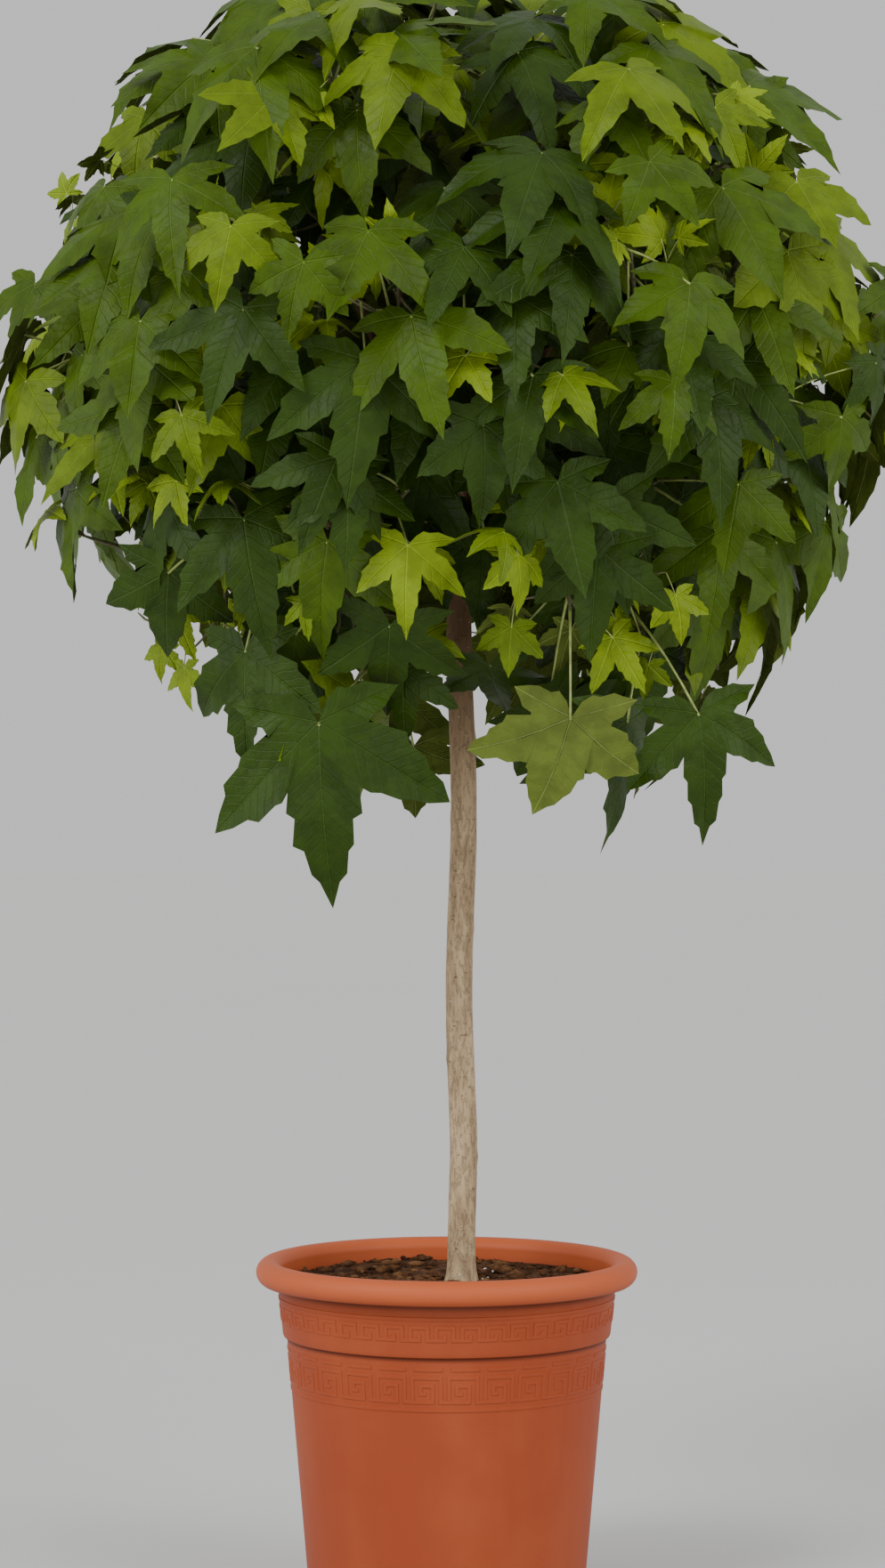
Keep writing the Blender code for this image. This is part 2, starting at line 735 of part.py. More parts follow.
MASSES = [Mass(tier, i) for tier, row in TIERS.items() for i in range(row[0])]
for each in MASSES:
    each.centre = each.stem_end.copy()


def main():
    clear_scene()
    make_pot()
    make_soil()
    trunk = make_trunk("trunk", 0, "trunk_bark")
    cutter = make_trunk("bough_cutter", SEAT_GAP)
    boughs = [make_bough(mass, cutter) for mass in MASSES]
    bpy.context.view_layer.update()
    taken = [solid_of(obj) for obj in (trunk, *boughs)]
    dice = random.Random(SEED)
    for mass in MASSES:
        grow_twigs(mass, dice, taken)
    for mass in MASSES:
        note_roots(mass)
    grown = hang_leaves(dice, taken)
    places = [place for layer in LEAF_LAYERS for place in leaf_places(dice, *layer)]
    centre = Vector((0, 0, CROWN_WAIST))
    for place in places:
        mass = nearest_mass(MASSES, place)
        grown += grow_leaf(mass, centre + (place - centre) * mass.reach, dice, taken)
    print("leaves", grown, "of", len(places))
    for mass in MASSES:
        fuse(mass)
    bpy.data.objects.remove(cutter, do_unlink=True)


main()
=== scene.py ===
"""Potted sweetgum: a young ball-headed standard tree in a round plastic pot, dressed for rendering.

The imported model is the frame. Its limbs stay where they are, and the twigs and leaves grow on from
them by the rule of its source, carried on here to finer twigs and more leaves.
"""

import functools
import itertools
import math
import random
import bmesh
import bpy
import numpy as np
from bpy.props import FloatProperty, FloatVectorProperty, IntProperty, PointerProperty
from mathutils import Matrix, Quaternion, Vector, noise
from mathutils.bvhtree import BVHTree


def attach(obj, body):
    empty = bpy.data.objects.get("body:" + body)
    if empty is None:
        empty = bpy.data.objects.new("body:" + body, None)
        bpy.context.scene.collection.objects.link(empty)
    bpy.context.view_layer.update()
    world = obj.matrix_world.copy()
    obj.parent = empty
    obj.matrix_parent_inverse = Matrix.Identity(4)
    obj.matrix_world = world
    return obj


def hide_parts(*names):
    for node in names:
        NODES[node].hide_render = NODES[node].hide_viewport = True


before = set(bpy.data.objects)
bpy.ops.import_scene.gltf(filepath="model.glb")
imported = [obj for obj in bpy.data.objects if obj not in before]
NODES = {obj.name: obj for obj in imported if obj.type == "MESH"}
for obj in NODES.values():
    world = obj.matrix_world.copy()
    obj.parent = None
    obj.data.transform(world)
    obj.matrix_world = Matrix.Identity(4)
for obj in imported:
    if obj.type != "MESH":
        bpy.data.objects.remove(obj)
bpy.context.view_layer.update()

bl_info = {
    "name": "Potted sweetgum",
    "version": (1, 0, 0),
    "blender": (4, 5, 0),
    "location": "View3D > Sidebar > Sweetgum",
    "description": "Dresses the packed model of a potted sweetgum with bark and leaves",
    "category": "Add Mesh",
}

# Sizes shared with the solids, in metres
SEAT_GAP = 0.0003
POT_HEIGHT = 0.330
RIM_RADIUS = 0.180
RIM_ROLL_RADIUS = 0.012
COLLAR_TOP_RADIUS = 0.1595
COLLAR_FOOT_RADIUS = 0.1545
COLLAR_FOOT_HEIGHT = 0.258
COLLAR_FOOT_DROP = 0.0015
COLLAR_STEP = 0.006
BODY_TOP_RADIUS = 0.1508
BODY_FOOT, BODY_TOP = 0.003, 0.2565
BASE_RADIUS = 0.1288
POT_WALL = 0.003
POT_FLOOR = 0.0035
DRAIN_HOLES = 4
DRAIN_RADIUS = 0.0065
DRAIN_RING_RADIUS = 0.092
SOIL_LEVEL = 0.308
TRUNK_OFFSET = 0.0139
TRUNK_BASE_RADIUS = 0.0132
TRUNK_WAIST_RADIUS = 0.0117
TRUNK_FLARE = 0.0035
FLARE_HEIGHT = 0.022
GRAFT_HEIGHT = 1.018
GRAFT_SWELL = 0.0042
GRAFT_LENGTH = 0.030
TRUNK_TIP_HEIGHT = 1.086
TRUNK_TIP_RADIUS = 0.0088
TRUNK_WAVE = 0.0022
TRUNK_WAVE_LENGTH = 0.34
CROWN_RADIUS = 0.440
CROWN_WAIST = 1.200
DOME_HEIGHT = 0.345
DOME_POWER = 2.6
SKIRT_DEPTH = 0.500
SKIRT_POWER = 1.8
SKIRT_CLEAR_RADIUS = 0.085
SKIRT_CLEAR_HEIGHT = 0.93
SKIRT_HOLLOW = 0.70

# Each tier: its masses, the turn of the first one from the front, the boughs' seat height on
# the trunk, the boughs' rise angle and tip (out, up), the stem's end (out, up), bough radius
TIERS = {
    "low": (6, 30, 0.998, 12, (0.150, 1.030), (0.285, 0.955), 0.0042),
    "mid": (8, 0, 1.032, 24, (0.150, 1.115), (0.320, 1.175), 0.0046),
    "high": (5, 36, 1.062, 52, (0.105, 1.235), (0.225, 1.400), 0.0046),
    "top": (1, 0, TRUNK_TIP_HEIGHT, 90, (0.004, 1.270), (0.012, 1.450), 0.0055),
}
TIER_REACH = {
    "low": (0.98, 1.02, 0.95, 0.98, 1.00, 0.96),
    "mid": (0.96, 0.98, 1.03, 0.97, 1.00, 0.96, 1.03, 0.99),
    "high": (0.96, 1.00, 0.97, 1.03, 0.99),
    "top": (1.0,),
}
STEM_RADIUS = 0.0044
STEM_TIP_RADIUS = 0.0034
TWIG_RADIUS = 0.0023
TWIG_TIP_RADIUS = 0.0019
TWIGS_PER_STEM = 5
TWIG_SPREAD = 52
TWIG_LENGTH = 0.125
GOLDEN_TURN = 137.5
LOBES = ((110, 0.54), (52, 0.84), (0, 1.0), (-52, 0.84), (-110, 0.54))
NOTCHES = ((82, 0.34), (26, 0.42), (-26, 0.42), (-82, 0.34))
LEAF_SIZES = (0.098, 0.126)
LEAF_THICKNESS = 0.015
LEAF_DROOP = 0.15
DROOP_POWER = 1.39
STALK_RADIUS = 0.0012
STALK_ROOT_SHARE = 0.55
STALK_LENGTHS = (0.022, 0.110)
STALK_IDEAL = 0.060
ROOT_SPACING = 0.009
LEAF_TRIES = 12
# A stem's bend, where its first side twig stands and how far on the last one, as shares of its
# length, and how the twigs lift, stay inside the crown and are shortened until they do
STEM_BEND = 0.45
TWIG_FIRST, TWIG_SPAN = 0.16, 0.74
TWIG_LIFT = 0.12
TWIG_MARGIN = 0.10
TWIG_TRIES, TWIG_SHORTER = 6, 0.82
# Bare wood at the foot of a side twig and of a stem, and the room round a stalk's root and a leaf
TWIG_BARE, STEM_BARE = 0.012, 0.015
ROOT_CLEARANCE = 0.0085
LEAF_MARGIN = 0.0006
LEAF_LAYERS = ((300, 0.93), (140, 0.78), (60, 0.62))
CROSSING = 0.035
SEED = 11
LONGEST_HANGING_STALK = 0.150
# Leaves that hang clear under the crown: mass, base, tip and the way the blade faces
HANGING_LEAVES = (
    ("low_6", (-0.113, -0.250, 0.832), (-0.109, -0.274, 0.678), (-0.10, -0.98, 0.15)),
    ("low_6", (-0.177, -0.220, 0.892), (-0.208, -0.250, 0.791), (-0.55, -0.80, 0.05)),
    ("low_1", (0.109, -0.250, 0.836), (0.080, -0.285, 0.735), (0.15, 0.90, -0.35)),
    ("low_1", (0.155, -0.225, 0.845), (0.161, -0.245, 0.730), (0.75, -0.60, 0.10)),
    ("low_1", (0.221, -0.250, 0.840), (0.236, -0.270, 0.735), (0.15, -0.95, 0.20)),
    ("low_2", (0.300, -0.120, 1.000), (0.352, -0.135, 0.905), (0.80, -0.50, 0.30)),
    ("low_2", (0.232, -0.160, 0.965), (0.266, -0.170, 0.858), (0.70, -0.65, 0.20)),
)

# The photograph's outline where it is narrower than the crown's form. The shoulders' middle, half
# width at a height, that height and their slope. The skirt's height, and there its left and its
# right end, each with its slope
SHOULDERS_ABOVE, SKIRT_BELOW = 1.24, 1.03
SHOULDERS = (0.0075, 0.362, 1.253, 0.42)
SKIRT = (0.90, (-0.18, 1.35), (0.25, 1.6))

# Further hanging leaves that only the scene has: the same, and their tint
FINE_HANGING_LEAVES = (
    ("low_6", (-0.034, -0.300, 0.985), (-0.040, -0.322, 0.912), (-0.10, -0.98, 0.20), 1.35),
    ("low_6", (-0.092, -0.200, 0.852), (-0.076, -0.215, 0.728), (0.78, -0.62, 0.05), 0.9),
    ("low_6", (-0.042, -0.190, 0.868), (-0.050, -0.200, 0.800), (-0.30, -0.95, 0.05), 0.1),
    ("low_6", (-0.120, -0.170, 0.930), (-0.128, -0.190, 0.850), (0.25, -0.95, 0.15), 0.3),
    ("low_1", (0.050, -0.175, 0.905), (0.046, -0.190, 0.835), (0.55, -0.82, 0.10), 0.2),
    ("low_1", (0.172, -0.150, 0.905), (0.180, -0.172, 0.838), (-0.35, -0.90, 0.20), 0.1),
    ("low_2", (0.250, -0.150, 0.965), (0.262, -0.170, 0.862), (0.88, -0.45, 0.10), 0.5),
    ("low_6", (-0.255, -0.120, 0.985), (-0.262, -0.140, 0.905), (-0.80, -0.58, 0.10), 0.8),
    ("low_1", (0.040, -0.165, 0.995), (0.036, -0.180, 0.905), (0.12, -0.97, 0.15), 0.2),
    ("low_1", (0.018, -0.110, 1.020), (0.010, -0.122, 0.940), (-0.15, -0.97, 0.15), 0.1),
)

# What only the scene has: side shoots on the twigs, and further layers of leaves, as
# (how many places, share of the crown's depth, smallest and largest leaf)
SHOOT_SPACING = 0.024
SHOOT_LENGTHS = (0.030, 0.075)
SHOOT_RADIUS = 0.0014
SHOOT_LIFT = 0.2
SHOOT_MARGIN = 0.06
FINE_LAYERS = (
    (430, 0.98, 0.070, 0.112),
    (360, 0.88, 0.075, 0.118),
    (300, 0.76, 0.075, 0.110),
    (240, 0.62, 0.070, 0.105),
    (150, 0.48, 0.065, 0.100),
)
# Where the finer leaves stay out: gaps by a noise in the layers beyond a depth, with its scale and
# limit, a strip before the trunk, with its half width and top, and more and more of the skirt
# below a height, with how far down it goes on thinning and the share that is left out there
OUTER_GAPS = (0.7, 8, -0.08)
BEFORE_TRUNK = (0.07, 0.95)
THIN_SKIRT = (1.08, 0.13, 0.92)
FINE_TRIES = 8
FINE_LOOSENESS = 0.22
YOUNG_SIZES = (0.030, 0.062)
YOUNG_MARGIN = 0.0004
YOUNG_TINT = 1.2
# A leaf's kind by its tint, which carries painted shade deep in the crown and painted light on its
# sides and top: darkest under the first, young over the last
TINT_STEPS = (0.26, 0.58, 1.14)
TINTS = ("deep", "green", "bright", "young")
BLADE_SHAPES = 7

# Relief on the pot: rows of one repeat, from the top, where # stands proud
UPPER_BAND = ("######", "......", "#####.", "#...#.", "#.#.#.", "###.##", "......")
UPPER_BAND_ENDS = (0.2960, 0.2690)
LOWER_BAND = (
    ".#######.", ".........", "########.", "#......#.", "#.####.#.", "#.#..#.#.",
    "#.##.#.#.", "#....#.#.", "######.##", ".........", "#########",
)
LOWER_BAND_ENDS = (0.2490, 0.2080)
POT_COLUMNS = 252
# Where painted shade darkens the pot's two corners, under the rim and at the collar's foot: it comes
# in between the first two heights and goes out between the last two
SHADED_CORNERS = ((0.2995, 0.3058, 0.3070, 0.3090), (0.2525, 0.2568, 0.2578, 0.2590))
# The heights over which the rim is painted paler, a painted highlight where light falls on its top
PAINTED_RIM_HIGHLIGHT = (0.300, 0.318)
# Between which heights the bark turns redder, how deep the trunk goes and how close its rings lie
RED_BARK = (0.78, 0.96)
TRUNK_SUNK = 0.004
TRUNK_STEP = 0.0022

# Healed side shoots on the trunk: height, turn, half height, how far they stand out
KNOTS = (
    (0.333, -1.2, 0.004, 0.0009), (0.426, -0.3, 0.004, 0.0010), (0.518, -2.6, 0.005, 0.0012),
    (0.642, -0.9, 0.006, 0.0016), (0.700, 2.0, 0.005, 0.0012), (0.745, -2.3, 0.006, 0.0014),
    (0.820, 0.6, 0.006, 0.0013), (0.872, -1.7, 0.006, 0.0014), (0.950, -0.2, 0.006, 0.0014),
)

# Lights: name, kind, place, width in degrees or metres, power. They all point at the crown
LIGHTS = (
    ("key", "SUN", (-2.4, -2.8, 4.4), 22, 1.60),
    ("fill", "SUN", (2.8, -2.8, 3.8), 28, 1.00),
    ("left", "AREA", (-2.1, -1.0, 1.3), 1.2, 17),
    ("right", "AREA", (2.1, -1.0, 1.4), 1.2, 14),
    ("low", "AREA", (0.0, -2.2, 0.15), 0.6, 8),
)
LIT_POINT = (0, 0, 1.2)
SKY_STRENGTH = 0.70
FLOOR_RADIUS = 30
CAMERA_SHIFT = -0.004
SENSOR_WIDTH = 36


# Settings that a user would change


def colour_of(label, told, default):
    return FloatVectorProperty(
        name=label, description=told, subtype="COLOR", size=3, min=0, max=1, default=default
    )


def length_of(label, told, default, low=0.0, high=1.0):
    return FloatProperty(
        name=label, description=told, default=default, min=low, max=high, unit="LENGTH"
    )


class PotSettings(bpy.types.PropertyGroup):
    plastic: colour_of("Plastic", "Colour of the moulded pot", (0.282, 0.047, 0.0135))
    # Also the base of the painted highlight on the rim
    worn_and_lit: colour_of("Dulled plastic", "Colour of its faded patches", (0.358, 0.076, 0.024))
    relief: length_of("Relief", "How far the key pattern stands proud", 0.0007, 0, 0.002)
    soil: colour_of("Soil", "Colour of the potting mix", (0.036, 0.016, 0.008))
    crumbs: IntProperty(name="Crumbs", description="Loose crumbs on the soil", default=900)
    perlite: IntProperty(name="Perlite", description="White grains among them", default=26)


class LimbSettings(bpy.types.PropertyGroup):
    bark: colour_of("Bark", "Grey-brown bark of the trunk", (0.470, 0.345, 0.200))
    bark_dark: colour_of("Bark streaks", "Darker streaks in the bark", (0.295, 0.203, 0.115))
    graft: colour_of("Graft", "Reddish bark under the crown", (0.160, 0.088, 0.042))
    young_wood: colour_of("Young wood", "Bark of twigs", (0.130, 0.120, 0.045))
    relief: length_of("Bark relief", "Depth of the trunk's furrows", 0.0004, 0, 0.002)


class LeafSettings(bpy.types.PropertyGroup):
    # Deep is painted shade for leaves in the crown's middle and depth, bright is painted light for
    # those on its sides and top, young is the colour of new leaves
    deep: colour_of("Deep", "Old leaves in the shade", (0.025, 0.054, 0.002))
    green: colour_of("Green", "Full-grown leaves", (0.051, 0.095, 0.002))
    bright: colour_of("Bright", "Leaves at the twigs' ends", (0.112, 0.172, 0.003))
    young: colour_of("Young", "The newest leaves", (0.190, 0.275, 0.008))
    under: colour_of("Underside", "Undersides of the leaves", (0.098, 0.130, 0.018))
    stalk: colour_of("Stalks", "Leaf stalks and ribs", (0.340, 0.410, 0.100))
    thickness: length_of("Thickness", "Blade's thickness at its ribs", 0.0005, 0.0002, 0.002)


class StageSettings(bpy.types.PropertyGroup):
    floor: colour_of("Floor", "Colour of the floor", (0.58, 0.578, 0.572))
    distance: length_of("Camera distance", "From the plant's axis", 3.54, 1, 10)
    height: length_of("Camera height", "Above the floor", 0.778, 0, 3)
    lens: FloatProperty(name="Lens", description="Focal length in mm", default=85.97)


# Modelling helpers


def blend(first, last, share):
    return first + (last - first) * share


def activate(piece):
    bpy.ops.object.select_all(action="DESELECT")
    piece.select_set(True)
    bpy.context.view_layer.objects.active = piece


def edit(piece, select="SELECT"):
    activate(piece)
    bpy.ops.object.mode_set(mode="EDIT")
    bpy.ops.mesh.select_mode(type="FACE")
    bpy.ops.mesh.select_all(action=select)


def done(piece, angle=None):
    """Leaves edit mode, puts the place into the mesh and smooths what lies under an angle."""
    if bpy.context.mode != "OBJECT":
        bpy.ops.object.mode_set(mode="OBJECT")
    activate(piece)
    bpy.ops.object.transform_apply(location=True, rotation=True, scale=True)
    if angle is not None:
        bpy.ops.object.shade_smooth_by_angle(angle=math.radians(angle))
    return piece


def apply_modifier(piece, kind, **settings):
    activate(piece)
    modifier = piece.modifiers.new(kind.lower(), kind)
    for key, value in settings.items():
        setattr(modifier, key, value)
    bpy.ops.object.modifier_apply(modifier=modifier.name)


def lathe(name, profile, columns):
    """Extrudes a point along a profile of (radius, height) and spins it round the Z axis."""
    bpy.ops.object.select_all(action="DESELECT")
    bpy.ops.mesh.primitive_plane_add(size=0.01)
    piece = bpy.context.object
    piece.name = piece.data.name = name
    bpy.ops.object.mode_set(mode="EDIT")
    bpy.ops.mesh.select_mode(type="VERT")
    bpy.ops.mesh.select_all(action="SELECT")
    bpy.ops.mesh.merge(type="CENTER")
    bpy.ops.transform.translate(value=(profile[0][0], 0, profile[0][1]))
    for before, after in zip(profile, profile[1:]):
        step = (after[0] - before[0], 0, after[1] - before[1])
        bpy.ops.mesh.extrude_region_move(TRANSFORM_OT_translate={"value": step})
    bpy.ops.mesh.select_all(action="SELECT")
    bpy.ops.mesh.spin(steps=columns, angle=math.tau, center=(0, 0, 0), axis=(0, 0, 1))
    bpy.ops.mesh.select_all(action="SELECT")
    bpy.ops.mesh.remove_doubles(threshold=1e-5)
    bpy.ops.mesh.normals_make_consistent(inside=False)
    return done(piece)


def limb(name, path, radii, roundness):
    """A bevelled curve through the points of a path, made a mesh."""
    bpy.ops.object.select_all(action="DESELECT")
    bpy.ops.curve.primitive_nurbs_path_add()
    piece = bpy.context.object
    piece.name = name
    curve = piece.data
    curve.splines.clear()
    curve.bevel_depth, curve.bevel_resolution, curve.use_fill_caps = 1.0, roundness, True
    spline = curve.splines.new("POLY")
    spline.points.add(len(path) - 1)
    for point, place, radius in zip(spline.points, path, radii):
        point.co = (*place, 1)
        point.radius = radius
    activate(piece)
    bpy.ops.object.convert(target="MESH")
    piece = bpy.context.object
    piece.data.name = name
    edit(piece)
    bpy.ops.mesh.remove_doubles(threshold=1e-6)
    bpy.ops.mesh.normals_make_consistent(inside=False)
    return done(piece)


def join(pieces, name):
    activate(pieces[0])
    for piece in pieces:
        piece.select_set(True)
    bpy.ops.object.join()
    pieces[0].name = pieces[0].data.name = name
    return pieces[0]


def nodes_named(start):
    return [name for name in NODES if name.startswith(start)]


def finish_piece(piece, finish, slot, *nodes):
    """Gives a piece its material, hangs it under the root body and hides the nodes that it stands
    for. Its slot is not used.
    """
    piece.data.materials.clear()
    piece.data.materials.append(finish)
    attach(piece, "root")
    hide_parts(*nodes)


# Materials


class Socket:
    """A value in a material's nodes. Arithmetic on it adds Math nodes."""

    def __init__(self, paint, output):
        self.paint, self.output = paint, output

    def maths(self, operation, *values, clamp=False):
        settings = {"operation": operation, "use_clamp": clamp}
        return self.paint.node("ShaderNodeMath", settings, dict(enumerate(values)))

    def __add__(self, other):
        return self.maths("ADD", self, other)

    def __radd__(self, other):
        return self.maths("ADD", other, self)

    def __sub__(self, other):
        return self.maths("SUBTRACT", self, other)

    def __rsub__(self, other):
        return self.maths("SUBTRACT", other, self)

    def __mul__(self, other):
        return self.maths("MULTIPLY", self, other)

    def __rmul__(self, other):
        return self.maths("MULTIPLY", other, self)

    def __truediv__(self, other):
        return self.maths("DIVIDE", self, other)

    def __pow__(self, other):
        return self.maths("POWER", self, other)

    def span(self, low, high):
        """0 below low, 1 above high, and smooth in between."""
        ends = {"Value": self, "From Min": low, "From Max": high}
        return self.paint.node("ShaderNodeMapRange", {"interpolation_type": "SMOOTHSTEP"}, ends)


class Paint:
    """A material, with a method for its nodes and one for its shader."""

    def __init__(self, name):
        self.material = bpy.data.materials.new(name)
        self.material.use_nodes = True
        self.tree = self.material.node_tree
        self.shader = self.tree.nodes["Principled BSDF"]

    def node(self, kind, settings, inputs, output=0):
        made = self.tree.nodes.new(kind)
        for key, value in settings.items():
            setattr(made, key, value)
        for key, value in inputs.items():
            self.feed(made.inputs[key], value)
        return Socket(self, made.outputs[output])

    def feed(self, socket, value):
        if isinstance(value, Socket):
            self.tree.links.new(value.output, socket)
        else:
            socket.default_value = (*value, 1) if socket.type == "RGBA" else value

    def place(self, scale=(1, 1, 1)):
        there = self.node("ShaderNodeTexCoord", {}, {}, "Object")
        return self.node("ShaderNodeMapping", {}, {"Vector": there, "Scale": scale})

    def noise(self, scale, detail=3.0, rough=0.55, stretch=(1, 1, 1)):
        inputs = {"Vector": self.place(stretch), "Scale": scale, "Detail": detail}
        return self.node("ShaderNodeTexNoise", {}, {**inputs, "Roughness": rough})

    def mix(self, share, first, second):
        inputs = {0: share, 6: first, 7: second}
        return self.node("ShaderNodeMix", {"data_type": "RGBA"}, inputs, 2)

    def bump(self, height, distance, below=None):
        inputs = {"Height": height, "Distance": distance, "Strength": 1.0}
        return self.node("ShaderNodeBump", {}, {**inputs, **({"Normal": below} if below else {})})

    def shade(self, colour, roughness, normal=None, **fixed):
        self.feed(self.shader.inputs["Base Color"], colour)
        self.feed(self.shader.inputs["Roughness"], roughness)
        if normal:
            self.feed(self.shader.inputs["Normal"], normal)
        for key, value in fixed.items():
            self.shader.inputs[key.replace("_", " ")].default_value = value
        return self.material


def scaled(colour, factor):
    return tuple(factor * part for part in colour)


def mottled(name, tint, darker, grain, rough, gain, ends=None, relief=None):
    """A plain finish: one noise wanders from a darker shade to the tint and dulls the surface."""
    paint = Paint(name)
    mottle = paint.noise(*grain)
    colour = paint.mix(mottle.span(*ends) if ends else mottle, scaled(tint, darker), tint)
    normal = paint.bump(mottle, relief) if relief else None
    return paint.shade(colour, rough + gain * mottle, normal)


def moulded_plastic(pot):
    """Matt moulded plastic: a fine grain, faint cloudy fading, a painted highlight on the rim, and
    painted shade in its two corners.
    """
    paint = Paint("moulded_terracotta")
    clouds = paint.noise(7, 4, 0.6)
    drips = paint.noise(16, 3, 0.6, (1, 1, 0.12))
    fading = (clouds * 0.6 + drips * 0.4).span(0.40, 0.66)
    height = paint.node("ShaderNodeSeparateXYZ", {}, {"Vector": paint.place()}, "Z")
    colour = paint.mix(fading * 0.5, pot.plastic, pot.worn_and_lit)
    # Painted highlight: the rim is painted paler towards its top, where the light from above falls
    colour = paint.mix(height.span(*PAINTED_RIM_HIGHLIGHT) * 0.75, colour, scaled(pot.worn_and_lit, 1.36))
    # Painted shade: the plastic darkens to a quarter in the crease under the rim and at the collar's
    # foot
    upper, lower = (height.span(a, b) * (1 - height.span(c, d)) for a, b, c, d in SHADED_CORNERS)
    colour = paint.mix((upper + lower) * 0.8, colour, scaled(pot.plastic, 0.25))
    roughness = 0.47 + 0.16 * clouds
    grain = paint.bump(paint.noise(900, 2, 0.6), 0.00012)
    return paint.shade(colour, roughness, grain, Specular_IOR_Level=0.22)


def potting_mix(name, dark, light):
    paint = Paint(name)
    patches = paint.noise(70, 5, 0.7)
    colour = paint.mix(patches.span(0.38, 0.68), dark, light)
    crumbs = paint.bump(paint.noise(420, 5, 0.75), 0.0012)
    return paint.shade(colour, 0.86 + 0.12 * patches, crumbs, Specular_IOR_Level=0.1)


def bark(name, limbs):
    """Smooth grey-brown bark with faint upright streaks, pale and dark pores, redder at its top."""
    paint = Paint(name)
    streaks = paint.noise(80, 5, 0.62, (1, 1, 0.16))
    rings = paint.noise(60, 3, 0.6, (0.5, 0.5, 2.4))
    height = paint.node("ShaderNodeSeparateXYZ", {}, {"Vector": paint.place()}, "Z")
    redder = (height + 0.10 * streaks).span(*RED_BARK)
    colour = paint.mix(streaks.span(0.34, 0.64), limbs.bark_dark, limbs.bark)
    colour = paint.mix(redder * 0.9, colour, limbs.graft)
    fissures = 1 - paint.noise(330, 4, 0.7, (1, 1, 0.30)).span(0.38, 0.50)
    colour = paint.mix(fissures * 0.38, colour, scaled(limbs.bark_dark, 0.45))
    pores = paint.node(
        "ShaderNodeTexVoronoi", {}, {"Vector": paint.place((0.6, 0.6, 1.3)), "Scale": 210}
    )
    spots = 1 - pores.span(0.16, 0.26)
    pale, dark = spots * rings.span(0.52, 0.60), spots * (1 - rings.span(0.40, 0.47))
    colour = paint.mix(pale * 0.55, colour, (0.52, 0.44, 0.33))
    colour = paint.mix(dark * 0.6, colour, (0.085, 0.055, 0.035))
    relief = streaks * 0.35 + rings * 0.3 + pale * 0.5 - dark * 0.3 - fissures * 0.5
    relief = paint.bump(relief, 0.0009)
    return paint.shade(colour, 0.66 + 0.2 * streaks, relief, Specular_IOR_Level=0.25)


def leaf_finish(name, tint, rough, vein):
    """A leaf's skin: its own tint, a little mottled, with pale ribs and faint side veins."""
    paint = Paint(name)
    there = paint.node("ShaderNodeUVMap", {"uv_map": "blade"}, {})
    along = paint.node("ShaderNodeSeparateXYZ", {}, {"Vector": there}, "X")
    across = paint.node("ShaderNodeSeparateXYZ", {}, {"Vector": there}, "Y")
    mottle = paint.noise(38, 4, 0.6)
    row = (along - across * 0.9) / 0.0105 + mottle * 1.2
    veins = 1 - row.maths("PINGPONG", row, 0.5).span(0.0, 0.12)
    near_rib = 1 - across.span(0.0002, 0.0012)
    light = tuple(min(1, part + 0.02) for part in scaled(tint, 1.9))
    colour = paint.mix(mottle.span(0.32, 0.66), scaled(tint, 0.70), tint)
    colour = paint.mix((near_rib + veins * 0.22).span(0, 1) * vein, colour, light)
    relief = paint.bump(mottle * 1.0 - veins * 0.10 - near_rib * 0.25, 0.0030)
    return paint.shade(colour, rough + 0.20 * mottle, relief, Specular_IOR_Level=0.14)


# The plant's growth, by the same rule as its solids


def trunk_centre(height):
    rise = max(0, height - SOIL_LEVEL - FLARE_HEIGHT)
    settle = min(1, rise / 0.1)
    wave = math.sin(math.tau * rise / TRUNK_WAVE_LENGTH) * TRUNK_WAVE * settle
    return Vector((TRUNK_OFFSET + wave, -wave * 0.6, height))


def trunk_radius(height):
    share = (height - SOIL_LEVEL) / (TRUNK_TIP_HEIGHT - SOIL_LEVEL)
    radius = blend(TRUNK_BASE_RADIUS, TRUNK_WAIST_RADIUS, share)
    radius += TRUNK_FLARE * max(0, 1 - (height - SOIL_LEVEL) / FLARE_HEIGHT) ** 2
    radius += GRAFT_SWELL * math.exp(-(((height - GRAFT_HEIGHT) / GRAFT_LENGTH) ** 2))
    above = max(0, height - GRAFT_HEIGHT) / (TRUNK_TIP_HEIGHT - GRAFT_HEIGHT)
    return radius + (TRUNK_TIP_RADIUS - TRUNK_WAIST_RADIUS) * above**2


def bezier(a, b, c, t):
    return a * (1 - t) ** 2 + b * (2 * t * (1 - t)) + c * t**2


class Mass:
    """One mass of foliage and the bough that carries it."""

    def __init__(self, tier, index):
        count, first_turn, seat, rise, tip, end, radius = TIERS[tier]
        self.name = f"{tier}_{index + 1}" if count > 1 else tier
        self.turn = math.radians(first_turn + 360 * index / count)
        self.outward = Vector((math.sin(self.turn), -math.cos(self.turn), 0))
        self.reach = TIER_REACH[tier][index]
        self.upright = tier == "top"
        self.seat = trunk_centre(seat)
        self.rise = math.radians(rise)
        self.bough_tip = self.place(tip)
        self.stem_end = self.place((end[0] * self.reach, end[1]))
        self.bough_radius = radius
        self.centre = self.stem_end.copy()
        self.twigs = []
        self.roots = []

    def place(self, out_up):
        axis = trunk_centre(self.seat.z)
        return Vector((axis.x, axis.y, 0)) + self.outward * out_up[0] + Vector((0, 0, out_up[1]))

    def bough_path(self, steps=4):
        """A limb that leaves the trunk at its rise angle and bends towards its tip."""
        start = self.seat.copy()
        if self.upright:
            start.z += SEAT_GAP
        heading = self.outward * math.cos(self.rise) + Vector((0, 0, math.sin(self.rise)))
        middle = start + heading * (self.bough_tip - start).length * 0.5
        return [bezier(start, middle, self.bough_tip, i / steps) for i in range(steps + 1)]


MASSES = [Mass(tier, i) for tier, row in TIERS.items() for i in range(row[0])]


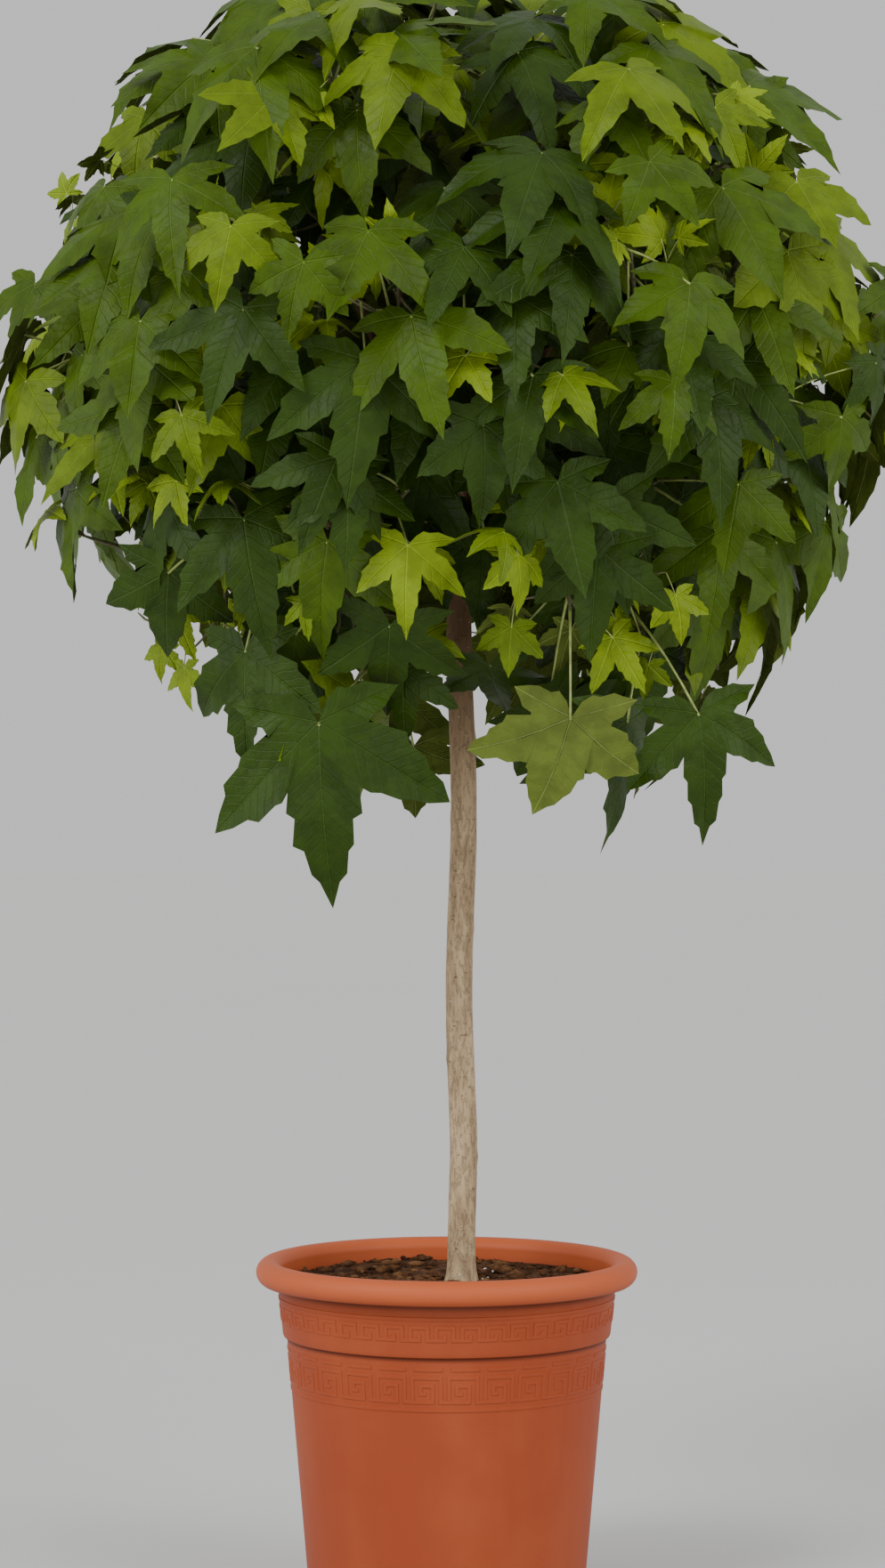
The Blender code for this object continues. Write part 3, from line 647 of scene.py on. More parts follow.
def crown_measure(point):
    """How far out a point is, from 0 at the crown's centre to 1 at its surface."""
    across = math.hypot(point.x, point.y) / CROWN_RADIUS
    if point.z > CROWN_WAIST:
        up, power = (point.z - CROWN_WAIST) / DOME_HEIGHT, DOME_POWER
    else:
        up, power = (CROWN_WAIST - point.z) / SKIRT_DEPTH, SKIRT_POWER
    return (across**power + up**power) ** (1 / power)


def in_open_skirt(point):
    """The open space round the trunk, under the crown."""
    if point.z > SKIRT_CLEAR_HEIGHT:
        return False
    return math.hypot(point.x, point.y) < SKIRT_CLEAR_RADIUS or crown_measure(point) < SKIRT_HOLLOW


def leaf_places(dice, count, depth):
    """Evenly spread places for blades, on the crown's surface or at a share of its depth."""
    places = []
    for i in range(count):
        up = 1 - 2 * (i + 0.5) / count
        turn = math.radians(GOLDEN_TURN) * i + dice.uniform(-0.12, 0.12)
        across = math.sqrt(1 - up * up)
        heading = Vector((across * math.sin(turn), -across * math.cos(turn), up))
        centre = Vector((0, 0, CROWN_WAIST))
        place = centre + heading / crown_measure(centre + heading) * depth
        if in_open_skirt(place) or (place.z < SKIRT_CLEAR_HEIGHT and dice.random() < 0.35):
            continue
        places.append(place)
    return places


def nearest_mass(point):
    return min(MASSES, key=lambda mass: (point - mass.centre).length_squared)


def crosses(mass, point):
    """Whether a point lies further than a leaf's tip may over the edge of the mass's space."""
    nearest = nearest_mass(point)
    if nearest is mass:
        return False
    ahead = (nearest.centre - mass.centre).normalized()
    return (point - (nearest.centre + mass.centre) / 2).dot(ahead) > CROSSING


class Solid:
    """A small mesh that can be tested against its neighbours."""

    def __init__(self, points, faces, owner=None):
        self.points, self.owner = points, owner
        self.low = Vector([min(p[i] for p in points) for i in range(3)])
        self.high = Vector([max(p[i] for p in points) for i in range(3)])
        self.tree = BVHTree.FromPolygons(points, faces)

    def touches(self, other, margin=0.0008):
        for i in range(3):
            if self.low[i] > other.high[i] + margin or other.low[i] > self.high[i] + margin:
                return False
        return bool(self.tree.overlap(other.tree))


class Neighbours:
    """The solids already grown, kept by the cells of a coarse grid that they reach."""

    cell = 0.06

    def __init__(self):
        self.cells = {}

    def reached(self, solid, pad):
        low = [math.floor((c - pad) / self.cell) for c in solid.low]
        high = [math.floor((c + pad) / self.cell) + 1 for c in solid.high]
        return itertools.product(*(range(*ends) for ends in zip(low, high)))

    def add(self, solid):
        for cell in self.reached(solid, 0):
            self.cells.setdefault(cell, []).append(solid)

    def clear(self, solid, owner):
        seen = set()
        for cell in self.reached(solid, 0.001):
            for other in self.cells.get(cell, ()):
                if id(other) in seen or (owner is not None and other.owner is owner):
                    continue
                seen.add(id(other))
                if solid.touches(other):
                    return False
        return True

    def take(self, solid, owner=None):
        """Keeps a solid's room if nothing but its owner's is in it, and says if that was so."""
        free = self.clear(solid, owner)
        if free:
            self.add(solid)
        return free


def jitter(dice):
    """A random step of up to one along each axis."""
    return Vector([dice.uniform(-1, 1) for _ in range(3)])


def side_axes(heading, hint):
    across = hint - heading * hint.dot(heading)
    across.normalize()
    return across, heading.cross(across)


def side_path(place, lead, length, lift):
    """A side twig's path: straight at first, with a tip that lifts by a share of its length."""
    tip = place + lead * length + Vector((0, 0, lift * length))
    return [place, place + lead * length * 0.5, tip]


def three_sided(path, radii):
    """Points and faces of a closed three-sided twig, whose sides don't twist along its path."""
    points, faces = [], []
    heading = (path[1] - path[0]).normalized()
    across, _ = side_axes(heading, Vector((0.31, -0.23, 0.92)))
    for i, (place, radius) in enumerate(zip(path, radii)):
        before, after = path[max(0, i - 1)], path[min(len(path) - 1, i + 1)]
        ahead = (after - before).normalized()
        across.rotate(heading.rotation_difference(ahead))
        heading, over = ahead, ahead.cross(across)
        for k in range(3):
            turn = math.tau * k / 3
            points.append(place + (across * math.cos(turn) + over * math.sin(turn)) * radius)
    for i in range(len(path) - 1):
        for k in range(3):
            a, b = 3 * i + k, 3 * i + (k + 1) % 3
            faces += [(a, b, b + 3), (a, b + 3, a + 3)]
    return points, faces


def blade_rim(base, axis, normal, size):
    """The outline of a blade: the tips of its lobes and the notches between them."""
    side, rim = normal.cross(axis), []
    outline = [corner for pair in zip(LOBES, NOTCHES) for corner in pair] + [LOBES[-1]]
    for angle, share in outline:
        turn, out = math.radians(angle), share * size
        ahead = axis * (out * math.cos(turn)) + side * (out * math.sin(turn))
        rim.append(base + ahead - normal * (LEAF_DROOP * share**DROOP_POWER * size))
    return rim


def leaf_solid(root, base, axis, normal, size, grow=0.0):
    """One leaf as a plain closed mesh, which keeps the room for the real blade and stalk."""
    side = normal.cross(axis)
    stalk = (base - root).normalized()
    across, _ = side_axes(stalk, side)
    beneath = across.cross(stalk)
    half = STALK_RADIUS + grow
    rim = blade_rim(base, axis, normal, size * (1 + 6 * grow))
    top = base + axis * (0.18 * size) + normal * (LEAF_THICKNESS * size + grow)
    left, right = base + side * half, base - side * half
    under = base + beneath * (half * 1.6) - normal * 0.0005
    sunk = root - stalk * 0.0002
    ends = [sunk + (corner - base) * STALK_ROOT_SHARE for corner in (left, under, right)]
    points = [top, left, *rim, right, under, *ends]
    last = len(rim) + 2
    low, end = last + 1, last + 2
    faces = [(0, i + 1, i) for i in range(1, last)] + [(0, 1, last)]
    faces += [(1, 2, 3), (last - 2, last - 1, last)]
    faces += [(i, i + 1, i + 2) for i in (3, 5, 7)]
    faces += [(low, 1, 3), (low, 3, 5), (low, 5, 7), (low, 7, 9), (low, 9, last)]
    loop, far = (1, low, last), (end, end + 1, end + 2)
    for k in range(3):
        n = (k + 1) % 3
        faces += [(loop[k], loop[n], far[n]), (loop[k], far[n], far[k])]
    return points, faces


class Twig:
    """A twig's path and radii, with the tint that its leaves share."""

    def __init__(self, path, first, last, tint=0.5):
        self.path, self.tint = path, tint
        self.radii = [first + (last - first) * i / (len(path) - 1) for i in range(len(path))]


class Leaf:
    """A leaf's place and attitude, with its tint from 0, deep with painted shade, to 1, young;
    between them painted light makes it brighter on the crown's sides and top.
    """

    def __init__(self, root, base, axis, normal, size, tint, posed=False):
        self.root, self.base, self.axis, self.normal = root, base, axis, normal
        self.size, self.tint, self.posed = size, tint, posed


class Crown:
    """Grows the twigs and leaves of the solids, and then the finer ones that only show here."""

    def __init__(self):
        self.taken, self.leaves, self.twigs = Neighbours(), [], []
        for name, node in NODES.items():
            if name == "trunk" or name.startswith("bough"):
                corners = [tuple(face.vertices) for face in node.data.polygons]
                self.taken.add(Solid([v.co.copy() for v in node.data.vertices], corners))
        dice, tints = random.Random(SEED), random.Random(SEED + 1)
        for mass in MASSES:
            self.grow_twigs(mass, dice, tints)
        for mass in MASSES:
            for number, twig in enumerate(mass.twigs):
                self.note_roots(mass, twig, number > 0)
        self.hang_leaves(HANGING_LEAVES, dice)
        centre = Vector((0, 0, CROWN_WAIST))
        for place in [place for layer in LEAF_LAYERS for place in leaf_places(dice, *layer)]:
            mass = nearest_mass(place)
            self.grow_leaf(mass, centre + (place - centre) * mass.reach, dice, LEAF_SIZES)
        self.leaves = [leaf for leaf in self.leaves if leaf.posed or not self.past_edge(leaf.base)]
        fine = random.Random(SEED + 2)
        self.hang_leaves(FINE_HANGING_LEAVES, fine)
        for mass in MASSES:
            self.grow_shoots(mass, fine)
        for count, depth, small, large in FINE_LAYERS:
            for place in leaf_places(fine, count, depth):
                if self.left_open(place, depth, fine):
                    continue
                mass = nearest_mass(place)
                there = centre + (place - centre) * mass.reach
                self.grow_leaf(mass, there, fine, (small, large), FINE_TRIES, FINE_LOOSENESS)

    def past_edge(self, base):
        """Whether a leaf lies outside the photograph's skirt or its sloping shoulders."""
        if base.z > SHOULDERS_ABOVE:
            middle, half, level, slope = SHOULDERS
            return abs(base.x - middle) > half - slope * (base.z - level)
        level, (left, left_slope), (right, right_slope) = SKIRT
        rise = max(0, base.z - level)
        inside = left - left_slope * rise < base.x < right + right_slope * rise
        return base.z < SKIRT_BELOW and not inside

    def left_open(self, place, depth, dice):
        """Whether a fine leaf stays out: in outer gaps, before the trunk or low in the skirt."""
        outer, scale, limit = OUTER_GAPS
        if (depth > outer and noise.noise(place * scale) < limit) or self.past_edge(place):
            return True
        half, top = BEFORE_TRUNK
        if abs(place.x - TRUNK_OFFSET) < half and place.y < 0 and place.z < top:
            return True
        height, fall, share = THIN_SKIRT
        return dice.random() < share * min(1, max(0, (height - place.z) / fall))

    def add_twig(self, mass, twig):
        if self.taken.take(Solid(*three_sided(twig.path, twig.radii), mass), mass):
            mass.twigs.append(twig)
            self.twigs.append(twig)

    def grow_twigs(self, mass, dice, tints):
        """The stem that carries on from the bough's tip, and the side twigs that turn round it."""
        start_path = mass.bough_path()
        heading = (start_path[-1] - start_path[-2]).normalized()
        start = mass.bough_tip + heading * SEAT_GAP
        length = (mass.stem_end - start).length
        middle = start + heading * length * STEM_BEND
        stem = [bezier(start, middle, mass.stem_end, i / 4) for i in range(5)]
        stem[1] = start + heading * (stem[1] - start).length
        twigs = [Twig(stem, STEM_RADIUS, STEM_TIP_RADIUS)]
        first = dice.uniform(0, 360)
        for i in range(TWIGS_PER_STEM):
            along = TWIG_FIRST + TWIG_SPAN * i / (TWIGS_PER_STEM - 1)
            place = bezier(start, middle, mass.stem_end, along)
            heading = (bezier(start, middle, mass.stem_end, along + 0.05) - place).normalized()
            upright = Vector((0, 0, 1)) if abs(heading.z) < 0.9 else mass.outward
            across, _ = side_axes(heading, upright)
            across.rotate(Quaternion(heading, math.radians(first + GOLDEN_TURN * i)))
            spread = math.radians(TWIG_SPREAD + dice.uniform(-8, 8))
            lead = heading * math.cos(spread) + across * math.sin(spread)
            length = TWIG_LENGTH * dice.uniform(0.85, 1.2)
            for _ in range(TWIG_TRIES):
                path = side_path(place, lead, length, TWIG_LIFT)
                inside = crown_measure(path[-1]) < mass.reach - TWIG_MARGIN
                if inside and not in_open_skirt(path[-1]) and nearest_mass(path[-1]) is mass:
                    twigs.append(Twig(path, TWIG_RADIUS, TWIG_TIP_RADIUS))
                    break
                length *= TWIG_SHORTER
        for twig in twigs:
            twig.tint = self.spray_tint(twig.path[-1], tints)
            self.add_twig(mass, twig)

    def spray_tint(self, place, dice):
        """Painted light: sprays at the crown's sides and top are given brighter tints than those in
        its middle, where the light falls, with a random tone besides.
        """
        lit = abs(place.x) / CROWN_RADIUS * 0.72 + max(0, place.z - 1.15) * 0.7
        return min(1, max(0, 0.10 + lit * 0.66 + dice.uniform(-0.18, 0.28)))

    def note_roots(self, mass, twig, side_twig):
        """Points along a twig where a leaf's stalk can start."""
        path = twig.path
        for i in range(len(path) - 1):
            steps = max(2, round((path[i + 1] - path[i]).length / ROOT_SPACING))
            for step in range(steps):
                root = path[i].lerp(path[i + 1], (step + 0.5) / steps)
                bare = side_twig and (root - path[0]).length < TWIG_BARE
                if not bare and (root - mass.bough_tip).length >= STEM_BARE:
                    mass.roots.append((root, (path[i + 1] - path[i]).normalized(), twig))

    def best_roots(self, mass, base, axis, side, longest):
        """The free points from which a stalk can reach this base, the best first."""
        found = []
        for root, heading, twig in mass.roots:
            stalk = base - root
            reach = stalk.length
            if not STALK_LENGTHS[0] < reach < longest:
                continue
            stalk /= reach
            if not -0.35 < stalk.dot(heading) < 0.86 or stalk.dot(axis) < -0.1:
                continue
            if abs(stalk.dot(side)) < 0.75:
                found.append((abs(reach - STALK_IDEAL), len(found), root, twig))
        return [row[2:] for row in sorted(found, key=lambda row: row[:2])[:5]]

    def add_leaf(self, mass, base, axis, normal, size, longest=STALK_LENGTHS[1], tint=None):
        """Adds a leaf on the first free root from which it is clear of everything else."""
        for root, twig in self.best_roots(mass, base, axis, normal.cross(axis), longest):
            clear_root = root + (base - root).normalized() * ROOT_CLEARANCE
            room = leaf_solid(clear_root, base, axis, normal, size, LEAF_MARGIN)
            if self.taken.take(Solid(*room, mass)):
                # Painted shade: the deeper a leaf lies in the crown, the darker its tint
                depth = max(0, 0.92 - crown_measure(base))
                shown = twig.tint - 1.1 * depth if tint is None else tint
                posed = longest > STALK_LENGTHS[1]
                self.leaves.append(Leaf(root, base, axis, normal, size, shown, posed))
                mass.roots = [row for row in mass.roots if (row[0] - root).length > ROOT_SPACING]
                return True
        return False

    def leaf_attitude(self, mass, place, dice, loose):
        """A blade faces out of the crown and hangs. Loose ones hang from the shoots every way."""
        out = place - Vector((0, 0, CROWN_WAIST - 0.12))
        out.normalize()
        wobble = jitter(dice)
        normal = (out + Vector((0, 0, 0.35)) + wobble * (0.38 + loose)).normalized()
        level = Vector((out.x, out.y, 0))
        wobble = jitter(dice)
        axis = Vector((0, 0, -1)) + level * 0.55 + wobble * 0.45
        if loose and out.z > 0.45:
            turn = dice.uniform(0, math.tau)
            level = (level + Vector((math.cos(turn), math.sin(turn), 0)) * 0.9).normalized()
            normal = (level * 0.8 + Vector((0, 0, 0.55)) + wobble * 0.2).normalized()
            axis = level * 0.55 + Vector((0, 0, -0.85)) + wobble * 0.2
        axis -= normal * axis.dot(normal)
        if axis.length < 0.1:
            axis = mass.outward.copy()
            axis -= normal * axis.dot(normal)
        return axis.normalized(), normal

    def grow_leaf(self, mass, place, dice, sizes, tries=LEAF_TRIES, loose=0.0):
        """Tries a few attitudes for a leaf near a place, and leaves it out where none is clear."""
        for attempt in range(tries):
            size = dice.uniform(*sizes) * (1 - 0.02 * attempt)
            shift = jitter(dice) * (0.003 * attempt)
            axis, normal = self.leaf_attitude(mass, place, dice, loose)
            base = place + shift - axis * size * 0.42
            edge = mass.reach + 0.02
            if loose:
                edge += 0.06 * noise.noise(place * 7) - 0.5 * max(0, 1.02 - place.z)
            if any(
                crown_measure(point) > edge or in_open_skirt(point) or crosses(mass, point)
                for point in blade_rim(base, axis, normal, size)
            ):
                continue
            if self.add_leaf(mass, base, axis, normal, size):
                break

    def hang_leaves(self, rows, dice):
        """Hangs the leaves of some rows, each as near its place as it can root.

        A row of the solids ends before the tint, and its leaf grows from its own mass only.
        """
        for name, base, tip, facing, *tint in rows:
            base, facing = Vector(base), Vector(facing).normalized()
            near = sorted(MASSES, key=lambda mass: (mass.centre - base).length_squared)
            masses = [each for each in MASSES if each.name == name] + (near[:4] if tint else [])
            axis = Vector(tip) - base
            size = axis.length
            axis = (axis - facing * axis.dot(facing)).normalized()
            for attempt in range(30):
                place = base + jitter(dice) * (0.001 * attempt)
                leaf = (place, axis, facing, size, LONGEST_HANGING_STALK, *tint)
                if any(self.add_leaf(mass, *leaf) for mass in masses):
                    break

    def grow_shoots(self, mass, dice):
        """Short side shoots that turn round each twig, and young leaves at the outer tips."""
        for twig in mass.twigs:
            lengths = [(b - a).length for a, b in zip(twig.path, twig.path[1:])]
            turn = dice.uniform(0, 360)
            for i in range(int(sum(lengths) / SHOOT_SPACING)):
                at = SHOOT_SPACING * (i + 0.8)
                for a, b, length in zip(twig.path, twig.path[1:], lengths):
                    if at <= length:
                        break
                    at -= length
                place, heading = a.lerp(b, min(1, at / length)), (b - a).normalized()
                across, _ = side_axes(heading, Vector((0.3, 0.2, 0.9)))
                across.rotate(Quaternion(heading, math.radians(turn + GOLDEN_TURN * i)))
                spread = math.radians(dice.uniform(35, 65))
                lead = heading * math.cos(spread) + across * math.sin(spread)
                length = dice.uniform(*SHOOT_LENGTHS)
                path = side_path(place, lead, length, SHOOT_LIFT)
                outside = crown_measure(path[-1]) > mass.reach - SHOOT_MARGIN
                if outside or in_open_skirt(path[-1]):
                    continue
                shoot = Twig(path, SHOOT_RADIUS, SHOOT_RADIUS * 0.7)
                shoot.tint = min(1, twig.tint + 0.08)
                room = three_sided([p + lead * 0.006 for p in path], shoot.radii)
                if self.taken.take(Solid(*room, mass)):
                    self.twigs.append(shoot)
                    self.note_roots(mass, shoot, True)
                    if crown_measure(path[-1]) > 0.62:
                        self.young_leaves(mass, path[-1], lead, dice)

    def young_leaves(self, mass, tip, lead, dice):
        """Up to two small young leaves at a shoot's tip."""
        for _ in range(2):
            for _ in range(4):
                out = (lead + jitter(dice) * 0.8).normalized()
                size = dice.uniform(*YOUNG_SIZES)
                base = tip + out * dice.uniform(0.012, 0.028)
                normal, _ = side_axes(out, Vector((0, 0, 1)) + mass.outward * 0.6)
                axis = (out + Vector((0, 0, -0.4))).normalized()
                normal = (normal - axis * normal.dot(axis)).normalized()
                rim = blade_rim(base, axis, normal, size)
                if any(crown_measure(p) > mass.reach + 0.02 or in_open_skirt(p) for p in rim):
                    continue
                start = tip + (base - tip).normalized() * 0.004
                room = leaf_solid(start, base, axis, normal, size, YOUNG_MARGIN)
                if self.taken.take(Solid(*room, mass)):
                    self.leaves.append(Leaf(tip, base, axis, normal, size, YOUNG_TINT))
                    break


@functools.lru_cache(maxsize=None)
def grown():
    """The crown, grown once for the twigs and the leaves."""
    return Crown()


# Leaves


# The toothed edge of each kind of lobe, from its notch to its tip, as (share of its length, half
# width as a share of the leaf's length). The outer edge of a foot lobe runs back to the stalk
LOBE_EDGES = {
    "middle": (
        (0.49, 0.205), (0.54, 0.172), (0.66, 0.168), (0.71, 0.126), (0.82, 0.098), (0.87, 0.058),
    ),
    "side": ((0.53, 0.200), (0.59, 0.164), (0.72, 0.148), (0.78, 0.102), (0.89, 0.066)),
    "foot": ((0.50, 0.138), (0.58, 0.106), (0.75, 0.092), (0.84, 0.050)),
    "back": ((0.20, 0.100), (0.38, 0.132), (0.48, 0.106), (0.68, 0.100), (0.80, 0.058)),
}
# Undersides and ribs for the darker leaves and for the bright and young ones, paler with painted
# light and youth, and how much paler each is than its setting
AGES_AND_LIGHT = {"": (1.0, 0.55), "_young": (1.25, 1.0)}
# How thick a blade is at its edge, as a share of its thickness
EDGE_THICKNESS = 0.25
LOBE_KINDS = ("foot", "side", "middle", "side", "foot")
SINUS_SHARES = (0.32, 0.44, 0.44, 0.32)


class Blade:
    """A five-lobed blade of unit length in its own plane, as arrays: points, faces and the rest."""

    def __init__(self, dice):
        self.points, self.marks, self.faces, self.uv, self.ribs = [], [], [], [], []
        self.dice, self.slender = dice, dice.uniform(0.0, 1.0)
        angles = [angle + dice.uniform(-6, 6) * (angle != 0) for angle, _ in LOBES]
        lengths = [share * dice.uniform(0.92, 1.06) for _, share in LOBES]
        lengths[2] = 1.0
        centre = self.add((0.0, 0.0), 2, 0.0, rib=True)
        sinuses = []
        for k, (low, high) in enumerate(zip(angles, angles[1:])):
            share = SINUS_SHARES[k] * (1.08 - 0.34 * self.slender) * dice.uniform(0.94, 1.06)
            turn = math.radians((low + high) / 2 + (2 if k < 2 else -2))
            place = (share * math.sin(turn), share * math.cos(turn))
            sinuses.append(self.add(place, k + (k > 1), 0.0, edge=True))
        for k, kind in enumerate(LOBE_KINDS):
            turn = math.radians(angles[k])
            lead = (math.sin(turn), math.cos(turn))
            steps = len(LOBE_EDGES[kind]) + 2
            rib = [centre]
            for i in range(1, steps + 1):
                share = (i / steps) ** 0.92 * lengths[k]
                tip = i == steps
                place = (lead[0] * share, lead[1] * share)
                rib.append(self.add(place, k, 0.0, rib=not tip, edge=tip))
            self.ribs.append(rib)
            for hand in (1, -1):
                between = k - 1 if hand > 0 else k
                start = [centre, sinuses[between]] if 0 <= between < 4 else [centre]
                table = LOBE_EDGES[kind if len(start) > 1 else "back"]
                self.add_half(table, lead, lengths[k], rib, start, hand, k)
        self.points = np.array(self.points)
        rib, edge, lobe, across = zip(*self.marks)
        self.rib, self.edge = np.array(rib), np.array(edge)
        self.lobe, self.across = np.array(lobe), np.array(across)
        starts = np.cumsum([0] + [len(face) for face in self.faces])
        turned = [[a, *range(b - 1, a, -1)] for a, b in zip(starts, starts[1:])]
        self.back = np.array([corner for face in turned for corner in face])

    def add(self, place, lobe, across, rib=False, edge=False):
        self.points.append(place)
        self.marks.append((rib, edge, lobe, across))
        return len(self.points) - 1

    def add_half(self, table, lead, length, rib, start, hand, k):
        """The strip between a lobe's rib and its own toothed edge, on one hand of the rib."""
        away = (lead[1] * hand, -lead[0] * hand)
        border, dice = list(start), self.dice
        tooth = dice.randrange(0, len(table), 2)
        for i, (share, wide) in enumerate(table):
            wide *= (1.10 - 0.36 * self.slender) * dice.uniform(0.94, 1.06)
            share += dice.uniform(-0.010, 0.010)
            if i == tooth and dice.random() < 0.7:
                wide, share = wide + 0.014, share + 0.018
            ahead = share * length
            place = (lead[0] * ahead + away[0] * wide, lead[1] * ahead + away[1] * wide)
            border.append(self.add(place, k, hand * wide, edge=True))
        border.append(rib[-1])
        last = len(rib) - 2
        for i in range(last + 1):
            corners = [rib[i], rib[i + 1], border[i + 1], border[i]]
            if i == 0:
                corners = corners[:3]
            elif i == last:
                corners = [corners[0], corners[1], corners[3]]
            corners = corners if hand > 0 else [corners[0], *corners[:0:-1]]
            self.faces.append(corners)
            for corner in corners:
                x, y = self.points[corner]
                self.uv.append((x * lead[0] + y * lead[1], abs(x * away[0] + y * away[1])))


def furthest_out(points):
    """How far out of the crown the furthest of some points lies."""
    up = points[:, 2] - CROWN_WAIST
    high = up > 0
    power = np.where(high, DOME_POWER, SKIRT_POWER)
    up = np.abs(up) / np.where(high, DOME_HEIGHT, SKIRT_DEPTH)
    across = np.hypot(points[:, 0], points[:, 1]) / CROWN_RADIUS
    return ((across**power + up**power) ** (1 / power)).max()


def turned(leaf, dice):
    """A leaf's facing once its stalk has twisted towards the light at the plant's front or back."""
    light = Vector((0, -1 if leaf.normal.y < 0.25 else 1, 0.25))
    light -= leaf.axis * light.dot(leaf.axis)
    gap = math.atan2(leaf.axis.dot(leaf.normal.cross(light)), leaf.normal.dot(light))
    turn = min(0.6, max(-0.6, gap * 0.6)) + dice.uniform(-0.3, 0.3)
    return Quaternion(leaf.axis, turn)


def bent_blade(blade, leaf, dice):
    """A blade's points in the plant's frame: each lobe bends, folds and twists in its own way."""
    x, y = blade.points[:, 0], blade.points[:, 1]
    out = np.hypot(x, y)
    reach = np.clip((out - 0.26) / 0.74, 0, 1)

    def by_lobe(low, high):
        return np.array([dice.uniform(low, high) for _ in range(5)])[blade.lobe]

    # The blade droops, its lobes bend down, fold along their ribs and twist, its sides hang, more
    # so where it lies level, its skin rises between the ribs and its edge ripples
    level = max(0, leaf.normal.z - 0.55)
    lift = -LEAF_DROOP * dice.uniform(0.7, 1.3) * out**DROOP_POWER
    lift -= by_lobe(-0.04, 0.40) * reach**1.7
    lift += by_lobe(-0.15, 0.55) * np.abs(blade.across) * reach
    lift += by_lobe(-0.50, 0.50) * blade.across * reach
    lift -= (dice.uniform(-0.05, 0.38) + level) * np.abs(x) ** 1.6
    lift += dice.uniform(0.0, 0.035) * ~blade.rib * np.minimum(1, out * 3)
    ripple = np.sin(out * 19 + blade.lobe * 2.3 + np.sign(blade.across) + dice.uniform(0, 6))
    lift += dice.uniform(0.008, 0.026) * blade.edge * ripple * out
    side = leaf.normal.cross(leaf.axis)
    axes = np.array([side, leaf.axis, leaf.normal])
    return np.array(leaf.base) + (np.stack([x, y, lift], 1) * leaf.size) @ axes


def tube_arrays(path, radii, sides, hint):
    """Rings of points round a path, and the faces between them and over both ends."""
    path, radii = np.asarray(path), np.asarray(radii)
    ahead = np.gradient(path, axis=0)
    ahead /= np.linalg.norm(ahead, axis=1)[:, None]
    across = np.cross(ahead, hint)
    across /= np.linalg.norm(across, axis=1)[:, None]
    over = np.cross(ahead, across)
    turns = np.arange(sides) * math.tau / sides
    ring = across[:, None] * np.cos(turns)[:, None] + over[:, None] * np.sin(turns)[:, None]
    points = (path[:, None] + ring * radii[:, None, None]).reshape(-1, 3)
    i, k = np.meshgrid(np.arange(len(path) - 1), np.arange(sides), indexing="ij")
    a, b = i * sides + k, i * sides + (k + 1) % sides
    faces = np.stack([a, b, b + sides, a + sides], -1).reshape(-1, 4)
    last = len(points)
    return points, [*faces, tuple(range(sides))[::-1], tuple(range(last - sides, last))]


class Heap:
    """Collects the points and faces of many small things for one joined mesh."""

    def __init__(self):
        self.points, self.faces, self.uv, self.creases, self.count = [], [], [], [], 0

    def add(self, points, faces, uv=None, creases=None):
        self.points.append(points)
        self.faces += [tuple(int(c) + self.count for c in face) for face in faces]
        self.uv.append(uv)
        self.creases.append(creases)
        self.count += len(points)

    def piece(self, name):
        """One smooth mesh of them all, sharp along the edges between two marked points."""
        mesh = bpy.data.meshes.new(name)
        mesh.from_pydata(np.concatenate(self.points), [], self.faces)
        if self.uv[0] is not None:
            uv = np.concatenate(self.uv).astype("f")
            mesh.uv_layers.new(name="blade").data.foreach_set("uv", uv.ravel())
        mesh.shade_smooth()
        if self.creases[0] is not None:
            marked, pairs = np.concatenate(self.creases), np.zeros(len(mesh.edges) * 2, "i")
            mesh.edges.foreach_get("vertices", pairs)
            sharp = mesh.attributes.new("sharp_edge", "BOOLEAN", "EDGE")
            sharp.data.foreach_set("value", marked[pairs[0::2]] & marked[pairs[1::2]])
        mesh.update()
        piece = bpy.data.objects.new(name, mesh)
        bpy.context.scene.collection.objects.link(piece)
        return piece


# Pieces


def arc(centre, radius, start, end, steps):
    turns = [math.radians(start + (end - start) * i / steps) for i in range(steps + 1)]
    return [(centre[0] + radius * math.cos(t), centre[1] + radius * math.sin(t)) for t in turns]


def rows_between(top, foot, count):
    return [blend(top, foot, i / count) for i in range(count + 1)]


